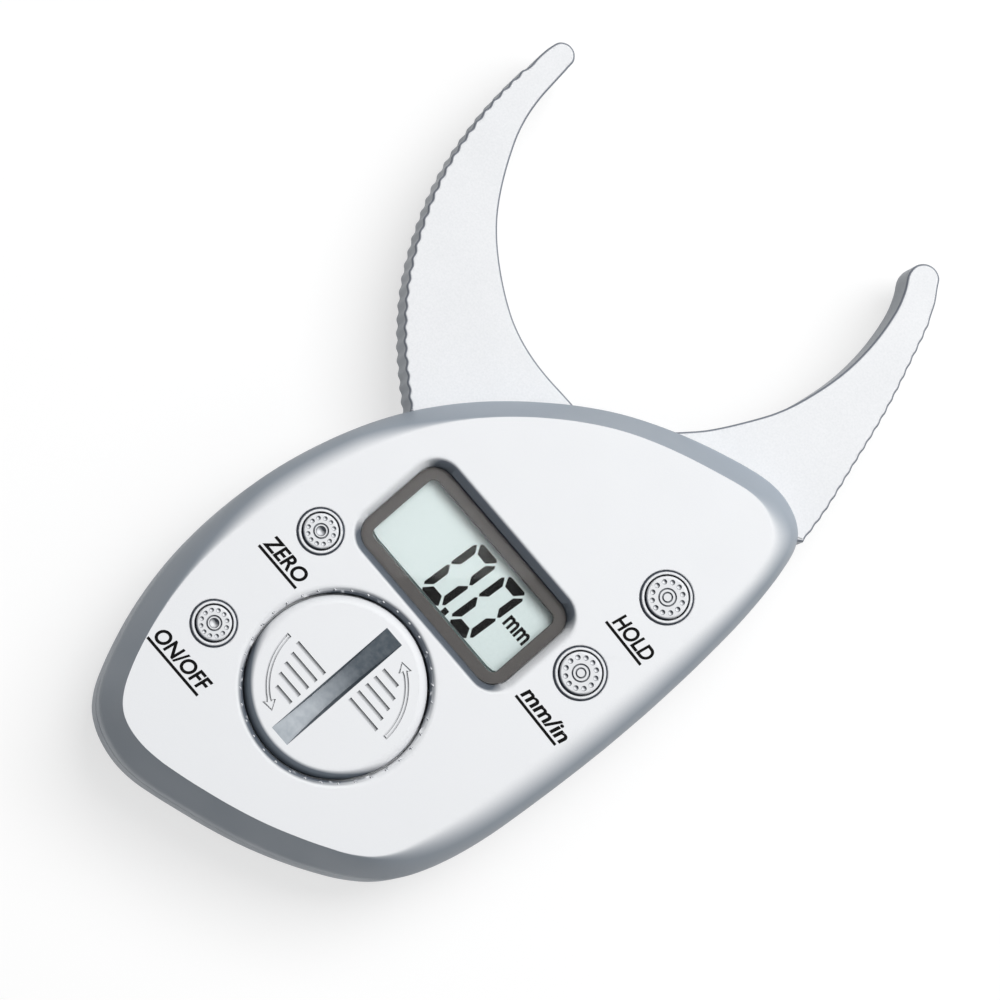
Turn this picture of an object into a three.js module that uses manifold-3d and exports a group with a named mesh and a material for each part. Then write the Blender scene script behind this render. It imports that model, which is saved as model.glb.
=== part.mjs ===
// Digital skinfold caliper: a flat hand-held housing with one fixed and one sprung, swinging jaw.
// Millimetres, +Z out of the front face. The origin is on the jaw's pivot axis, in the plane of the
// housing's flat back. +X runs along the printed words and +Y points from the battery to the jaws.

import * as THREE from 'three';
import { mergeVertices } from 'three/addons/utils/BufferGeometryUtils.js';
import Module from 'manifold-3d';

const wasm = await Module();
wasm.setup();

// Driving dimensions

// Gaps and cuts
const fitGap = 0.3;
const snugGap = 0.15;
const cutOverrun = 1.5;

// Housing shells
const shellWall = 1.8;
const backEdgeRound = 3;
const partingGap = 0.3;
const leftMargin = 7.81;
const rightMargin = 6.8;
const bottomMargin = 14;
const pivotToTop = 27.9;
const slotGap = 0.3;
const slotSideGap = 0.9;
const bossWall = 1.2;

// Housing screws
const screwRadius = 1.1;
const screwHeadRadius = 2;
const screwHeadHeight = 1.5;
const screwHeadDepth = 1.5;
const screwGrip = 5.3;
const lowBossGap = 5.6;
const rightBossOffset = 4.5;
const screwDrive = 0.5;

// Jaws
const jawThickness = 8;
const fixedReach = 63.9;
const movingTipSetback = 1.65;
const movingTipRadius = 1.9;
const fixedTipRadius = 2.25;
const tipGap = 0.4;
const movingRootInner = 15.1;
const movingRootOuter = 20.7;
const gripPitch = 1.9;
const gripDepth = 0.24;
const fixedGripDepth = 0.12;
const gripTipSpace = 4.5;
const gripRootSpace = 1;
const jawPassClearance = 3;
const rootGap = 1.65;
const rootScrewWall = 2.1;
const rootScrewSpacing = 7;

// Pivot
const hubRadius = 11;
const hubThickness = 4;
const hubSideGap = 0.4;
const hubStepGap = 0.8;
const pinRadius = 2;
const pinChamfer = 0.3;
const bushWall = 0.85;
const washerThickness = 0.3;
const pivotBossHeight = 2.4;
const pivotBossWall = 1.4;
const pinSeatFloor = 1.2;
const pinTopGrip = 4;
const hubEndPlay = 0.3;

// Return spring
const springWire = 0.6;
const springPitch = 0.95;
const springTurns = 3;
const springPocketDepth = 1.5;
const springLeg = 4.5;
const springPostRadius = 0.9;

// Angle sensor and circuit board
const rotorThickness = 1;
const rotorMargin = 1.5;
const sensorGap = 0.7;
const boardThickness = 1.6;
const boardEdgeGap = 0.6;
const boardSweepGap = 1.4;
const boardScrewRadius = 0.8;
const boardScrewHeadRadius = 1.5;
const boardScrewHeadHeight = 1;
const boardScrewGrip = 3.6;
const boardScrewDrop = 8.9;
const boardBossGap = 2.15;
const chipSide = 7;
const chipHeight = 1;

// Battery bay
const cellDiameter = 20;
const cellThickness = 3.2;
const cellEdgeRound = 0.3;
const cellFaceInset = 2;
const wellFloor = 1.2;
const wellFloorGap = 0.4;
const wellWall = 1.2;
const contactThickness = 0.3;
const contactRise = 0.5;
const contactWidth = 4;
const contactLength = 12;
const contactDroop = 0.15;
const capThickness = 2.3;
const capAirGap = 0.6;
const skirtWall = 0.8;
const ledgeWidth = 1;
const ledgeThickness = 0.6;
const sealThickness = 0.3;
const lugThickness = 0.7;
const lugSpan = THREE.MathUtils.degToRad(40);
const capTurn = THREE.MathUtils.degToRad(45);
const surroundSlope = 0.9;
const surroundDepth = 0.8;
const coinSlotLength = 20.6;
const coinSlotWidth = 3.1;
const coinSlotDepth = 1.5;

// Display
const columnOffset = 1.1;
const lightWidth = 25.35;
const lightHeight = 11.7;
const frameBorder = 1.7;
const frameCorner = 3;
const recessDepth = 1.1;
const recessSlope = 1;
const windowThickness = 0.8;
const bezelThickness = 0.8;
const displayLedge = 1;
const lightMargin = 0.4;
const lightCorner = 1.1;
const glassThickness = 1.7;
const glassInset = 0.5;
const connectorWidth = 1.8;
const connectorEndGap = 1.6;
const collarWall = 1.5;
const displayClearance = 1.25;
const displayToBattery = 1.95;

// Buttons and their switches
const buttonRadius = 2.45;
const wideButtonRadius = 2.95;
const buttonRingWidth = 0.45;
const buttonRingHeight = 0.25;
const buttonProud = 0.45;
const buttonEdgeRound = 0.3;
const buttonFlangeWidth = 0.8;
const buttonFlangeThickness = 0.8;
const buttonStemRadius = 1.5;
const buttonTravel = 0.6;
const dimpleRadius = 1.1;
const dimpleDepth = 0.25;
const zeroButtonGap = 0.2;
const leftButtonGap = 0.3;
const rightButtonGap = 2.25;
const powerDrop = 7.1;
const holdRise = 18.95;
const unitRise = 3.2;
const switchSide = 4.5;
const switchHeight = 1.9;
const plungerRadius = 1.2;
const plungerRise = 0.9;
const plungerSeat = 0.4;

// Faceting
const smallSides = 10;
const plainSides = 18;
const fineSides = 32;
const wireSides = 5;
const coilStepsPerTurn = 12;
const outlineStepsPerPoint = 3;
const shoulderSteps = 4;
const backEdgeSteps = 3;
const cornerSteps = 4;
const edgeSteps = 18;
const stepsPerGrip = 5;

// Directions from +X: of the jaws' tips and the moving jaw's root, about the pivot
const movingTipAngle = THREE.MathUtils.degToRad(134.6);
const fixedTipAngle = THREE.MathUtils.degToRad(79.1);
const movingInnerAngle = THREE.MathUtils.degToRad(112.1);
const movingOuterAngle = THREE.MathUtils.degToRad(190.6);

// How far round from those directions each jaw's edges meet its round tip
const movingTipInnerTurn = THREE.MathUtils.degToRad(-144);
const movingTipOuterTurn = THREE.MathUtils.degToRad(51);
const fixedTipInnerTurn = THREE.MathUtils.degToRad(122);
const fixedTipOuterTurn = THREE.MathUtils.degToRad(-57);

// Directions of the spring's start, of ZERO from the display's corner, and of screws from the bay
const springStartAngle = THREE.MathUtils.degToRad(230);
const zeroAngle = THREE.MathUtils.degToRad(229.8);
const lowLeftBossAngle = THREE.MathUtils.degToRad(246);
const lowRightBossAngle = THREE.MathUtils.degToRad(-3);
const lowBoardScrewAngle = THREE.MathUtils.degToRad(278);

// Shape shares. The housing's are shares of its width and length, counted from its lower left.
// Each row holds a point of the outer edge, the point of the front face that lies beside it, and
// how round the shoulder between them is: 0 is a flat bevel with a crisp edge, 1 a quarter round.
const housingShares = [
  [0.289, 0, 0.279, 0.028, 0],
  [0.159, 0.026, 0.193, 0.043, 0],
  [0.074, 0.115, 0.118, 0.119, 0.05],
  [0.012, 0.255, 0.063, 0.255, 0.4],
  [0.005, 0.417, 0.07, 0.412, 1],
  [0.053, 0.563, 0.113, 0.549, 1],
  [0.125, 0.67, 0.176, 0.659, 0.4],
  [0.244, 0.778, 0.282, 0.759, 0.05],
  [0.436, 0.893, 0.463, 0.863, 0],
  [0.674, 0.974, 0.684, 0.932, 0],
  [0.827, 1, 0.802, 0.952, 0.1],
  [0.926, 0.977, 0.88, 0.929, 0.6],
  [0.971, 0.893, 0.915, 0.867, 1],
  [1, 0.698, 0.923, 0.677, 1],
  [0.993, 0.461, 0.908, 0.466, 1],
  [0.954, 0.266, 0.879, 0.277, 0.7],
  [0.887, 0.173, 0.832, 0.182, 0.3],
  [0.699, 0.086, 0.674, 0.11, 0],
  [0.46, 0.024, 0.462, 0.054, 0],
];
const fixedRootInnerShares = [0.545, 0.933];
const fixedRootOuterShares = [0.944, 0.979];
const fixedAnchorInnerShares = [0.648, 0.888];
const fixedAnchorReachShare = 0.8;

// The jaws' edges, from root to tip: share of the chord, and bulge as a share of its length.
const movingInnerShares = [[0.146, 0.122], [0.28, 0.187], [0.543, 0.221], [0.784, 0.161], [0.882, 0.106]];
const movingOuterShares = [[0.173, 0.084], [0.34, 0.132], [0.569, 0.143], [0.749, 0.11], [0.897, 0.055]];
const fixedInnerShares = [[0.107, -0.061], [0.229, -0.109], [0.365, -0.149], [0.51, -0.162],
  [0.644, -0.155], [0.788, -0.122], [0.917, -0.066]];
const fixedOuterShares = [[0.13, -0.019], [0.325, -0.032], [0.521, -0.043], [0.716, -0.04], [0.907, -0.028]];

// Heights, stacked from the back face

const jawBottom = shellWall + pivotBossHeight + washerThickness;
const jawTop = jawBottom + jawThickness;
const hubTop = jawBottom + hubThickness;
const rotorTop = hubTop + rotorThickness;
const boardBottom = rotorTop + sensorGap;
const boardTop = boardBottom + boardThickness;
const wellBottom = boardTop + wellFloorGap;
const wellFloorTop = wellBottom + wellFloor;
const cellBottom = wellFloorTop + contactRise;
const cellTop = cellBottom + cellThickness;
const capUnderside = cellTop + capAirGap;
const faceHeight = capUnderside + capThickness;
const innerFace = faceHeight - shellWall;
const ledgeTop = capUnderside - sealThickness;
const ledgeBottom = ledgeTop - ledgeThickness;
const lugTop = ledgeBottom - snugGap;
const lugBottom = lugTop - lugThickness;
const undercutBottom = lugBottom - fitGap;
const partingHeight = jawBottom + jawThickness / 2;
const slotBottom = jawBottom - slotGap;
const slotTop = jawTop + slotGap;
const windowTop = faceHeight - recessDepth;
const windowBottom = windowTop - windowThickness;
const bezelBottom = windowBottom - bezelThickness;
const glassTop = bezelBottom - displayLedge;
const glassBottom = glassTop - glassThickness;

// Plan layout, worked outwards from the pivot axis

const pinBore = pinRadius + snugGap;
const pivotBossRadius = pinRadius + pivotBossWall;
const skirtInner = cellDiameter / 2 + fitGap;
const skirtOuter = skirtInner + skirtWall;
const ledgeInner = skirtOuter + fitGap;
const capRadius = ledgeInner + ledgeWidth;
const capSeatRadius = capRadius + fitGap;
const wellOuter = capSeatRadius + wellWall;
const surroundRadius = capSeatRadius + surroundSlope;
const frameWidth = lightWidth + 2 * frameBorder;
const frameHeight = lightHeight + 2 * frameBorder;
const collarMargin = snugGap + collarWall;
const displayX = columnOffset;
const displayY = -(pivotBossRadius + displayClearance + collarMargin + frameHeight / 2);
const batteryX = columnOffset;
const batteryY = displayY - frameHeight / 2 - displayToBattery - surroundRadius;
const ringRadius = buttonRadius + snugGap + buttonRingWidth;
const wideRingRadius = wideButtonRadius + snugGap + buttonRingWidth;
const flangeRadius = buttonRadius + buttonFlangeWidth;

// ZERO nests against the round lower left corner of the display's collar, and the left column
// stands clear of the battery bay as well.
const collarCornerX = displayX - frameWidth / 2 - collarMargin + frameCorner;
const collarCornerY = displayY - frameHeight / 2 - collarMargin + frameCorner;
const zeroReach = frameCorner + flangeRadius + zeroButtonGap;
const zeroY = collarCornerY + zeroReach * Math.sin(zeroAngle);
const leftColumnX = Math.min(collarCornerX + zeroReach * Math.cos(zeroAngle),
  batteryX - surroundRadius - leftButtonGap - ringRadius);
const rightColumnX = displayX + frameWidth / 2 + rightButtonGap + wideRingRadius;
const powerY = batteryY - powerDrop;
const holdY = displayY + holdRise;
const unitY = displayY + unitRise;
const housingLeft = leftColumnX - ringRadius - leftMargin;
const housingWidth = rightColumnX + wideRingRadius + rightMargin - housingLeft;
const housingBottom = batteryY - surroundRadius - bottomMargin;
const housingLength = pivotToTop - housingBottom;
const movingReach = fixedReach - movingTipSetback;
const farReach = movingReach + fixedReach;
const fixedRootBottom = holdY + wideRingRadius + rootGap;

// The moving jaw closes until its tip is a small gap away from the fixed one.
const tipDistance = movingTipRadius + fixedTipRadius + tipGap;
const closedTipAngle = Math.acos((movingReach ** 2 + fixedReach ** 2 - tipDistance ** 2)
  / (2 * movingReach * fixedReach));
const closingTurn = movingTipAngle - fixedTipAngle - closedTipAngle;
const slotLeftAngle = movingOuterAngle + Math.atan(slotSideGap / movingRootOuter);
const closedInnerAngle = movingInnerAngle - closingTurn;
const fixedRootLeft = movingRootInner * Math.cos(closedInnerAngle) + jawPassClearance;

// Screw places
const backBossRadius = screwHeadRadius + fitGap + bossWall;
const frontBossRadius = screwRadius + snugGap + bossWall;
const boardBossRadius = boardScrewRadius + snugGap + bossWall;
const movingRootY = movingRootOuter * Math.sin(movingOuterAngle);
const topBossX = displayX - frameWidth / 2 - collarMargin - fitGap - frontBossRadius;
const topBossY = movingRootY - frontBossRadius - jawPassClearance;
const lowBossReach = wellOuter + frontBossRadius + lowBossGap;
const fromBattery = (angle, reach) => [
  batteryX + reach * Math.cos(angle),
  batteryY + reach * Math.sin(angle),
];
const housingScrewPlaces = [
  [topBossX, topBossY],
  [rightColumnX + rightBossOffset, (holdY + unitY) / 2],
  fromBattery(lowLeftBossAngle, lowBossReach),
  fromBattery(lowRightBossAngle, lowBossReach),
];
const boardScrewPlaces = [
  [topBossX, (topBossY + zeroY) / 2],
  [rightColumnX, unitY - boardScrewDrop],
  fromBattery(lowBoardScrewAngle, wellOuter + boardBossRadius + boardBossGap),
];
const rootScrewInset = screwHeadRadius + fitGap + rootScrewWall;
const rootScrewPlaces = [
  [fixedRootLeft + rootScrewInset, fixedRootBottom + rootScrewInset],
  [fixedRootLeft + rootScrewInset + rootScrewSpacing, fixedRootBottom + rootScrewInset],
];
const buttonPlaces = {
  zero: [leftColumnX, zeroY],
  power: [leftColumnX, powerY],
  hold: [rightColumnX, holdY],
  unit: [rightColumnX, unitY],
};
const buttonRadii = {
  zero: buttonRadius,
  power: buttonRadius,
  hold: wideButtonRadius,
  unit: wideButtonRadius,
};

// Materials
const finish = (color, roughness, metalness = 0) => (
  new THREE.MeshStandardMaterial({ color, roughness, metalness }));
const silverPaint = finish(0xe6e9ee, 0.4, 0.15);
const jawPlastic = finish(0xe2e5e9, 0.5);
const greyPrint = finish(0x6e6c6a, 0.5);
const clearPlastic = finish(0xdfe9e8, 0.08);
const displayCell = finish(0xd6e4e2, 0.25);
const darkRubber = finish(0x232323, 0.8);
const boardGreen = finish(0x1d5a35, 0.5);
const chipBlack = finish(0x18191b, 0.5);
const steel = finish(0xb4b7bb, 0.3, 1);
const brass = finish(0xc9a45a, 0.35, 1);
const whitePlastic = finish(0xd9d9d4, 0.5);

// Closed meshes and solids

// The library needs shared vertices, with nothing on them but their place.
function toSolid(geometry) {
  const bare = geometry.clone();
  bare.deleteAttribute('normal');
  bare.deleteAttribute('uv');
  const merged = mergeVertices(bare);
  return new wasm.Manifold(new wasm.Mesh({
    numProp: 3,
    vertProperties: new Float32Array(merged.attributes.position.array),
    triVerts: new Uint32Array(merged.index.array),
  }));
}

function toGeometry(solid) {
  const mesh = solid.getMesh();
  const geometry = new THREE.BufferGeometry();
  geometry.setAttribute('position', new THREE.BufferAttribute(new Float32Array(mesh.vertProperties), 3));
  geometry.setIndex(new THREE.BufferAttribute(new Uint32Array(mesh.triVerts), 1));
  geometry.computeVertexNormals();
  return geometry;
}

const joined = (...solids) => solids.reduce((whole, solid) => whole.add(solid));
const cutBy = (solid, ...cutters) => cutters.reduce((rest, cutter) => rest.subtract(cutter), solid);

// A plate of any outline between two heights.
function plate(points, bottom, top) {
  const shape = new THREE.Shape(points.map(([x, y]) => new THREE.Vector2(x, y)));
  const geometry = new THREE.ExtrudeGeometry(shape, { depth: top - bottom, bevelEnabled: false });
  return toSolid(geometry.translate(0, 0, bottom));
}

function disc([x, y], radius, bottom, top, sides = plainSides) {
  const geometry = new THREE.CylinderGeometry(radius, radius, top - bottom, sides);
  geometry.rotateX(Math.PI / 2).translate(x, y, (bottom + top) / 2);
  return toSolid(geometry);
}

function cone([x, y], bottomRadius, topRadius, bottom, top, sides = plainSides) {
  const geometry = new THREE.CylinderGeometry(topRadius, bottomRadius, top - bottom, sides);
  geometry.rotateX(Math.PI / 2).translate(x, y, (bottom + top) / 2);
  return toSolid(geometry);
}

const ring = (centre, inner, outer, bottom, top, sides = plainSides) => cutBy(
  disc(centre, outer, bottom, top, sides),
  disc(centre, inner, bottom - cutOverrun, top + cutOverrun, sides),
);

function block([x, y], width, height, bottom, top) {
  const geometry = new THREE.BoxGeometry(width, height, top - bottom);
  return toSolid(geometry.translate(x, y, (bottom + top) / 2));
}

// A profile of [radius, height] points, turned about an upright axis.
function turned(profile, [x, y], sides = plainSides) {
  const points = profile.map(([radius, height]) => new THREE.Vector2(radius, height));
  const geometry = new THREE.LatheGeometry(points, sides);
  return toSolid(geometry.rotateX(Math.PI / 2).translate(x, y, 0));
}

function arcPoints(radius, from, to, steps, [x, y] = [0, 0]) {
  return Array.from({ length: steps + 1 }, (_, step) => {
    const angle = from + (to - from) * step / steps;
    return [x + radius * Math.cos(angle), y + radius * Math.sin(angle)];
  });
}

// A piece of a flat ring, from one angle round to another.
const sector = (centre, inner, outer, from, to, bottom, top) => plate([
  ...arcPoints(outer, from, to, smallSides, centre),
  ...arcPoints(inner, to, from, smallSides, centre),
], bottom, top);

function roundedBox([x, y], width, height, corner) {
  const round = Math.min(corner, width / 2, height / 2);
  const across = width / 2 - round;
  const along = height / 2 - round;
  const quarter = Math.PI / 2;
  return [[1, 1], [-1, 1], [-1, -1], [1, -1]].flatMap(([side, end], index) => (
    arcPoints(round, index * quarter, (index + 1) * quarter, cornerSteps,
      [x + side * across, y + end * along])));
}

// A closed body through matched rings of points, each at its own height.
function lofted(rings) {
  const count = rings[0].points.length;
  const places = rings.flatMap(({ points, height }) => points.flatMap(([x, y]) => [x, y, height]));
  const faces = [];
  for (let level = 0; level + 1 < rings.length; level += 1) {
    for (let index = 0; index < count; index += 1) {
      const low = level * count + index;
      const lowNext = level * count + (index + 1) % count;
      faces.push(low, lowNext, lowNext + count, low, lowNext + count, low + count);
    }
  }
  const cap = ({ points }) => THREE.ShapeUtils.triangulateShape(
    points.map(([x, y]) => new THREE.Vector2(x, y)), []);
  const topStart = (rings.length - 1) * count;
  cap(rings[0]).forEach(([a, b, c]) => faces.push(a, c, b));
  cap(rings[rings.length - 1]).forEach(([a, b, c]) => faces.push(topStart + a, topStart + b, topStart + c));
  const geometry = new THREE.BufferGeometry();
  geometry.setAttribute('position', new THREE.Float32BufferAttribute(places, 3));
  geometry.setIndex(faces);
  return toSolid(geometry);
}

// The housing's outline

const atHousing = ([across, along]) => [
  housingLeft + across * housingWidth,
  housingBottom + along * housingLength,
];

// A smooth closed line through the housing's points, sampled anticlockwise. A third value may
// ride along with each point.
function smoothLine(rows) {
  const points = rows.map(([across, along, extra = 0]) => (
    new THREE.Vector3(...atHousing([across, along]), extra)));
  const curve = new THREE.CatmullRomCurve3(points, true, 'centripetal');
  return curve.getPoints(rows.length * outlineStepsPerPoint).slice(0, -1).reverse();
}

const outerEdge = smoothLine(housingShares).map(({ x, y }) => [x, y]);
const faceLine = smoothLine(housingShares.map(([, , x, y, round]) => [x, y, round]));
const faceEdge = faceLine.map(({ x, y }) => [x, y]);
const shoulderRound = faceLine.map(({ z }) => THREE.MathUtils.clamp(z, 0, 1));

// A line that lies between two others, by a share that may differ at each point.
const between = (first, second, shareAt) => first.map(([x, y], index) => [
  x + (second[index][0] - x) * shareAt(index),
  y + (second[index][1] - y) * shareAt(index),
]);

// The same line moved inwards by a distance.
function inset(points, distance) {
  return points.map(([x, y], index) => {
    const before = points[(index + points.length - 1) % points.length];
    const after = points[(index + 1) % points.length];
    const along = new THREE.Vector2(after[0] - before[0], after[1] - before[1]).normalize();
    return [x - along.y * distance, y + along.x * distance];
  });
}

// The front's shoulder runs from the outer edge up to the flat face, from bevel to quarter round.
function frontBody(wall) {
  const outer = inset(outerEdge, wall);
  const face = inset(faceEdge, wall);
  const rise = faceHeight - wall - slotTop;
  const rings = [{ points: outer, height: partingHeight - (wall > 0 ? cutOverrun : -partingGap / 2) }];
  for (let step = 0; step <= shoulderSteps; step += 1) {
    const angle = Math.PI / 2 * step / shoulderSteps;
    rings.push({
      points: between(outer, face, (index) => (
        THREE.MathUtils.lerp(Math.sin(angle), 1 - Math.cos(angle), shoulderRound[index]))),
      height: slotTop + rise * Math.sin(angle),
    });
  }
  return lofted(rings);
}

function backBody(wall) {
  const outer = inset(outerEdge, wall);
  const round = backEdgeRound - wall / 2;
  const rings = [];
  for (let step = 0; step <= backEdgeSteps; step += 1) {
    const angle = Math.PI / 2 * step / backEdgeSteps;
    rings.push({
      points: inset(outer, round * (1 - Math.sin(angle))),
      height: wall + round * (1 - Math.cos(angle)),
    });
  }
  rings.push({ points: outer, height: partingHeight + (wall > 0 ? cutOverrun : -partingGap / 2) });
  return lofted(rings);
}

// The space that the jaws leave the housing through, and that the moving one swings in.
const fixedOuterRoot = atHousing(fixedRootOuterShares);
const slotRightAngle = Math.atan2(fixedOuterRoot[1], fixedOuterRoot[0])
  - fitGap / Math.hypot(...fixedOuterRoot);
const slotSpace = sector([0, 0], hubRadius + hubSideGap, farReach, slotRightAngle, slotLeftAngle,
  slotBottom, slotTop);

// Jaws

// An edge from root to tip, bulging sideways by shares of the straight line between them.
function edgeCurve(start, end, shares) {
  const chord = new THREE.Vector2(end[0] - start[0], end[1] - start[1]);
  const points = shares.map(([along, bulge]) => new THREE.Vector3(
    start[0] + chord.x * along - chord.y * bulge,
    start[1] + chord.y * along + chord.x * bulge,
    0,
  ));
  return new THREE.CatmullRomCurve3(
    [new THREE.Vector3(...start, 0), ...points, new THREE.Vector3(...end, 0)], false, 'centripetal');
}

const plainEdge = (curve, steps) => curve.getSpacedPoints(steps).map(({ x, y }) => [x, y]);

// The outer edge is a row of shallow finger grips between its plain root and its plain tip.
function gripEdge(curve, side, depth) {
  const length = curve.getLength();
  const start = gripRootSpace / length;
  const end = 1 - gripTipSpace / length;
  const steps = stepsPerGrip * Math.round((end - start) * length / gripPitch);
  const plainPoint = (share) => {
    const { x, y } = curve.getPointAt(share);
    return [x, y];
  };
  const points = [plainPoint(0)];
  for (let step = 0; step <= steps; step += 1) {
    const share = start + (end - start) * step / steps;
    const [x, y] = plainPoint(share);
    const along = curve.getTangentAt(share);
    const dip = depth * (1 + Math.cos(2 * Math.PI * step / stepsPerGrip)) / 2;
    points.push([x + side * along.y * dip, y - side * along.x * dip]);
  }
  points.push(plainPoint((end + 1) / 2), plainPoint(1));
  return points;
}

const polar = (radius, angle) => [radius * Math.cos(angle), radius * Math.sin(angle)];
const pointOnTip = (centre, radius, angle) => {
  const [x, y] = polar(radius, angle);
  return [centre[0] + x, centre[1] + y];
};

function jawOutline(innerCurve, outerCurve, centre, radius, innerAngle, outerAngle, side, depth) {
  return [
    ...plainEdge(innerCurve, edgeSteps),
    ...arcPoints(radius, innerAngle, outerAngle, smallSides / 2, centre).slice(1, -1),
    ...gripEdge(outerCurve, side, depth).reverse(),
  ];
}

function movingJaw() {
  const tip = polar(movingReach, movingTipAngle);
  const innerAngle = movingTipAngle + movingTipInnerTurn;
  const outerAngle = movingTipAngle + movingTipOuterTurn;
  const inner = edgeCurve(polar(movingRootInner, movingInnerAngle),
    pointOnTip(tip, movingTipRadius, innerAngle), movingInnerShares);
  const outer = edgeCurve(polar(movingRootOuter, movingOuterAngle),
    pointOnTip(tip, movingTipRadius, outerAngle), movingOuterShares);
  const outline = jawOutline(inner, outer, tip, movingTipRadius, innerAngle, outerAngle, 1, gripDepth);
  const arm = plate([[0, 0], ...outline], jawBottom, jawTop);
  const hubSpace = disc([0, 0], hubRadius + hubStepGap, hubTop, jawTop + cutOverrun, fineSides);
  const hub = disc([0, 0], hubRadius, jawBottom, hubTop, fineSides);
  const bore = disc([0, 0], pinBore + bushWall + snugGap, 0, jawTop);
  const pocketTop = jawBottom + springPocketDepth;
  const pocket = ring([0, 0], pivotBossRadius, springOuter + fitGap, 0, pocketTop);
  const [legX, legY] = polar(springRadius, springEndAngle);
  const legAlong = springEndAngle + Math.PI / 2;
  const legSlot = plate([
    [springWire, -springWire], [springWire, springWire],
    [-springLeg - springWire, springWire], [-springLeg - springWire, -springWire],
  ].map(([along, across]) => [
    legX - along * Math.cos(legAlong) - across * Math.sin(legAlong),
    legY - along * Math.sin(legAlong) + across * Math.cos(legAlong),
  ]), 0, pocketTop);
  return cutBy(joined(arm, hub), hubSpace, bore, pocket, legSlot);
}

function fixedJaw() {
  const tip = polar(fixedReach, fixedTipAngle);
  const innerAngle = fixedTipAngle + fixedTipInnerTurn;
  const outerAngle = fixedTipAngle + fixedTipOuterTurn;
  const innerRoot = atHousing(fixedRootInnerShares);
  const inner = edgeCurve(innerRoot, pointOnTip(tip, fixedTipRadius, innerAngle), fixedInnerShares);
  const outer = edgeCurve(fixedOuterRoot, pointOnTip(tip, fixedTipRadius, outerAngle), fixedOuterShares);
  const outline = jawOutline(inner, outer, tip, fixedTipRadius, innerAngle, outerAngle, -1,
    fixedGripDepth);
  const anchors = [
    fixedOuterRoot.map((place) => place * fixedAnchorReachShare),
    atHousing(fixedAnchorInnerShares),
  ];
  const arm = plate([...outline, ...anchors].reverse(), jawBottom, jawTop);
  const rootBlock = plate([
    [fixedRootLeft, fixedRootBottom], [farReach, fixedRootBottom],
    [farReach, farReach], [fixedRootLeft, farReach],
  ], jawBottom, jawTop);
  const room = plate(inset(outerEdge, shellWall + fitGap), jawBottom, jawTop);
  const root = rootBlock.intersect(room);
  const screwHoles = rootScrewPlaces.flatMap((place) => [
    disc(place, screwRadius + snugGap, 0, faceHeight, smallSides),
    disc(place, screwHeadRadius + fitGap, jawTop - screwHeadHeight, faceHeight, plainSides),
  ]);
  return cutBy(joined(arm, root), ...screwHoles);
}

// Return spring: a coil round the pivot boss, with one leg against the housing and one in the hub.

const springOuter = pivotBossRadius + 2 * fitGap + springWire;
const springRadius = springOuter - springWire / 2;
const springLow = shellWall + fitGap + springWire / 2;
const springEndAngle = springStartAngle + 2 * Math.PI * springTurns;

function springPath() {
  const steps = springTurns * coilStepsPerTurn;
  const points = [];
  const leg = (angle, height, reach) => {
    const [x, y] = polar(springRadius, angle);
    return new THREE.Vector3(x - reach * Math.sin(angle), y + reach * Math.cos(angle), height);
  };
  points.push(leg(springStartAngle, springLow, -springLeg));
  for (let step = 0; step <= steps; step += 1) {
    const angle = springStartAngle + (springEndAngle - springStartAngle) * step / steps;
    points.push(new THREE.Vector3(...polar(springRadius, angle),
      springLow + springPitch * springTurns * step / steps));
  }
  points.push(leg(springEndAngle, springLow + springPitch * springTurns, springLeg));
  return points;
}

function returnSpring() {
  const points = springPath();
  const path = new THREE.CatmullRomCurve3(points, false, 'centripetal');
  const wire = new THREE.Shape(arcPoints(springWire / 2, 0, 2 * Math.PI, wireSides)
    .slice(0, -1).map(([x, y]) => new THREE.Vector2(x, y)));
  return toSolid(new THREE.ExtrudeGeometry(wire, {
    steps: points.length, extrudePath: path, bevelEnabled: false,
  }));
}

// Pivot

const frontBossBottom = hubTop + hubEndPlay;
const pinTop = frontBossBottom + pinTopGrip;

const pivotPin = () => turned([
  [0, pinSeatFloor], [pinRadius - pinChamfer, pinSeatFloor], [pinRadius, pinSeatFloor + pinChamfer],
  [pinRadius, pinTop - pinChamfer], [pinRadius - pinChamfer, pinTop], [0, pinTop],
], [0, 0]);
const pivotBush = () => ring([0, 0], pinBore, pinBore + bushWall, jawBottom, hubTop);
const pivotWasher = () => ring([0, 0], pinBore, pivotBossRadius, jawBottom - washerThickness, jawBottom);
const encoderRotor = () => ring([0, 0], pivotBossRadius + fitGap, hubRadius - rotorMargin,
  hubTop, rotorTop, fineSides);

// Front cover

const plateAt = (width, height, corner, bottom, top) => (
  plate(roundedBox([displayX, displayY], width, height, corner), bottom, top));

function displayCutters() {
  const pocketWidth = frameWidth + 2 * snugGap;
  const pocketHeight = frameHeight + 2 * snugGap;
  const flare = recessSlope * (recessDepth + cutOverrun) / recessDepth;
  const place = [displayX, displayY];
  return [
    plateAt(pocketWidth, pocketHeight, frameCorner, bezelBottom, windowTop + snugGap),
    plateAt(pocketWidth, pocketHeight, frameCorner, glassBottom - cutOverrun, glassTop),
    plateAt(lightWidth + 2 * lightMargin, lightHeight + 2 * lightMargin, lightCorner,
      glassTop - cutOverrun, bezelBottom + cutOverrun),
    lofted([
      { points: roundedBox(place, pocketWidth, pocketHeight, frameCorner), height: windowTop },
      {
        points: roundedBox(place, pocketWidth + 2 * flare, pocketHeight + 2 * flare, frameCorner + flare),
        height: faceHeight + cutOverrun,
      },
    ]),
  ];
}

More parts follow.
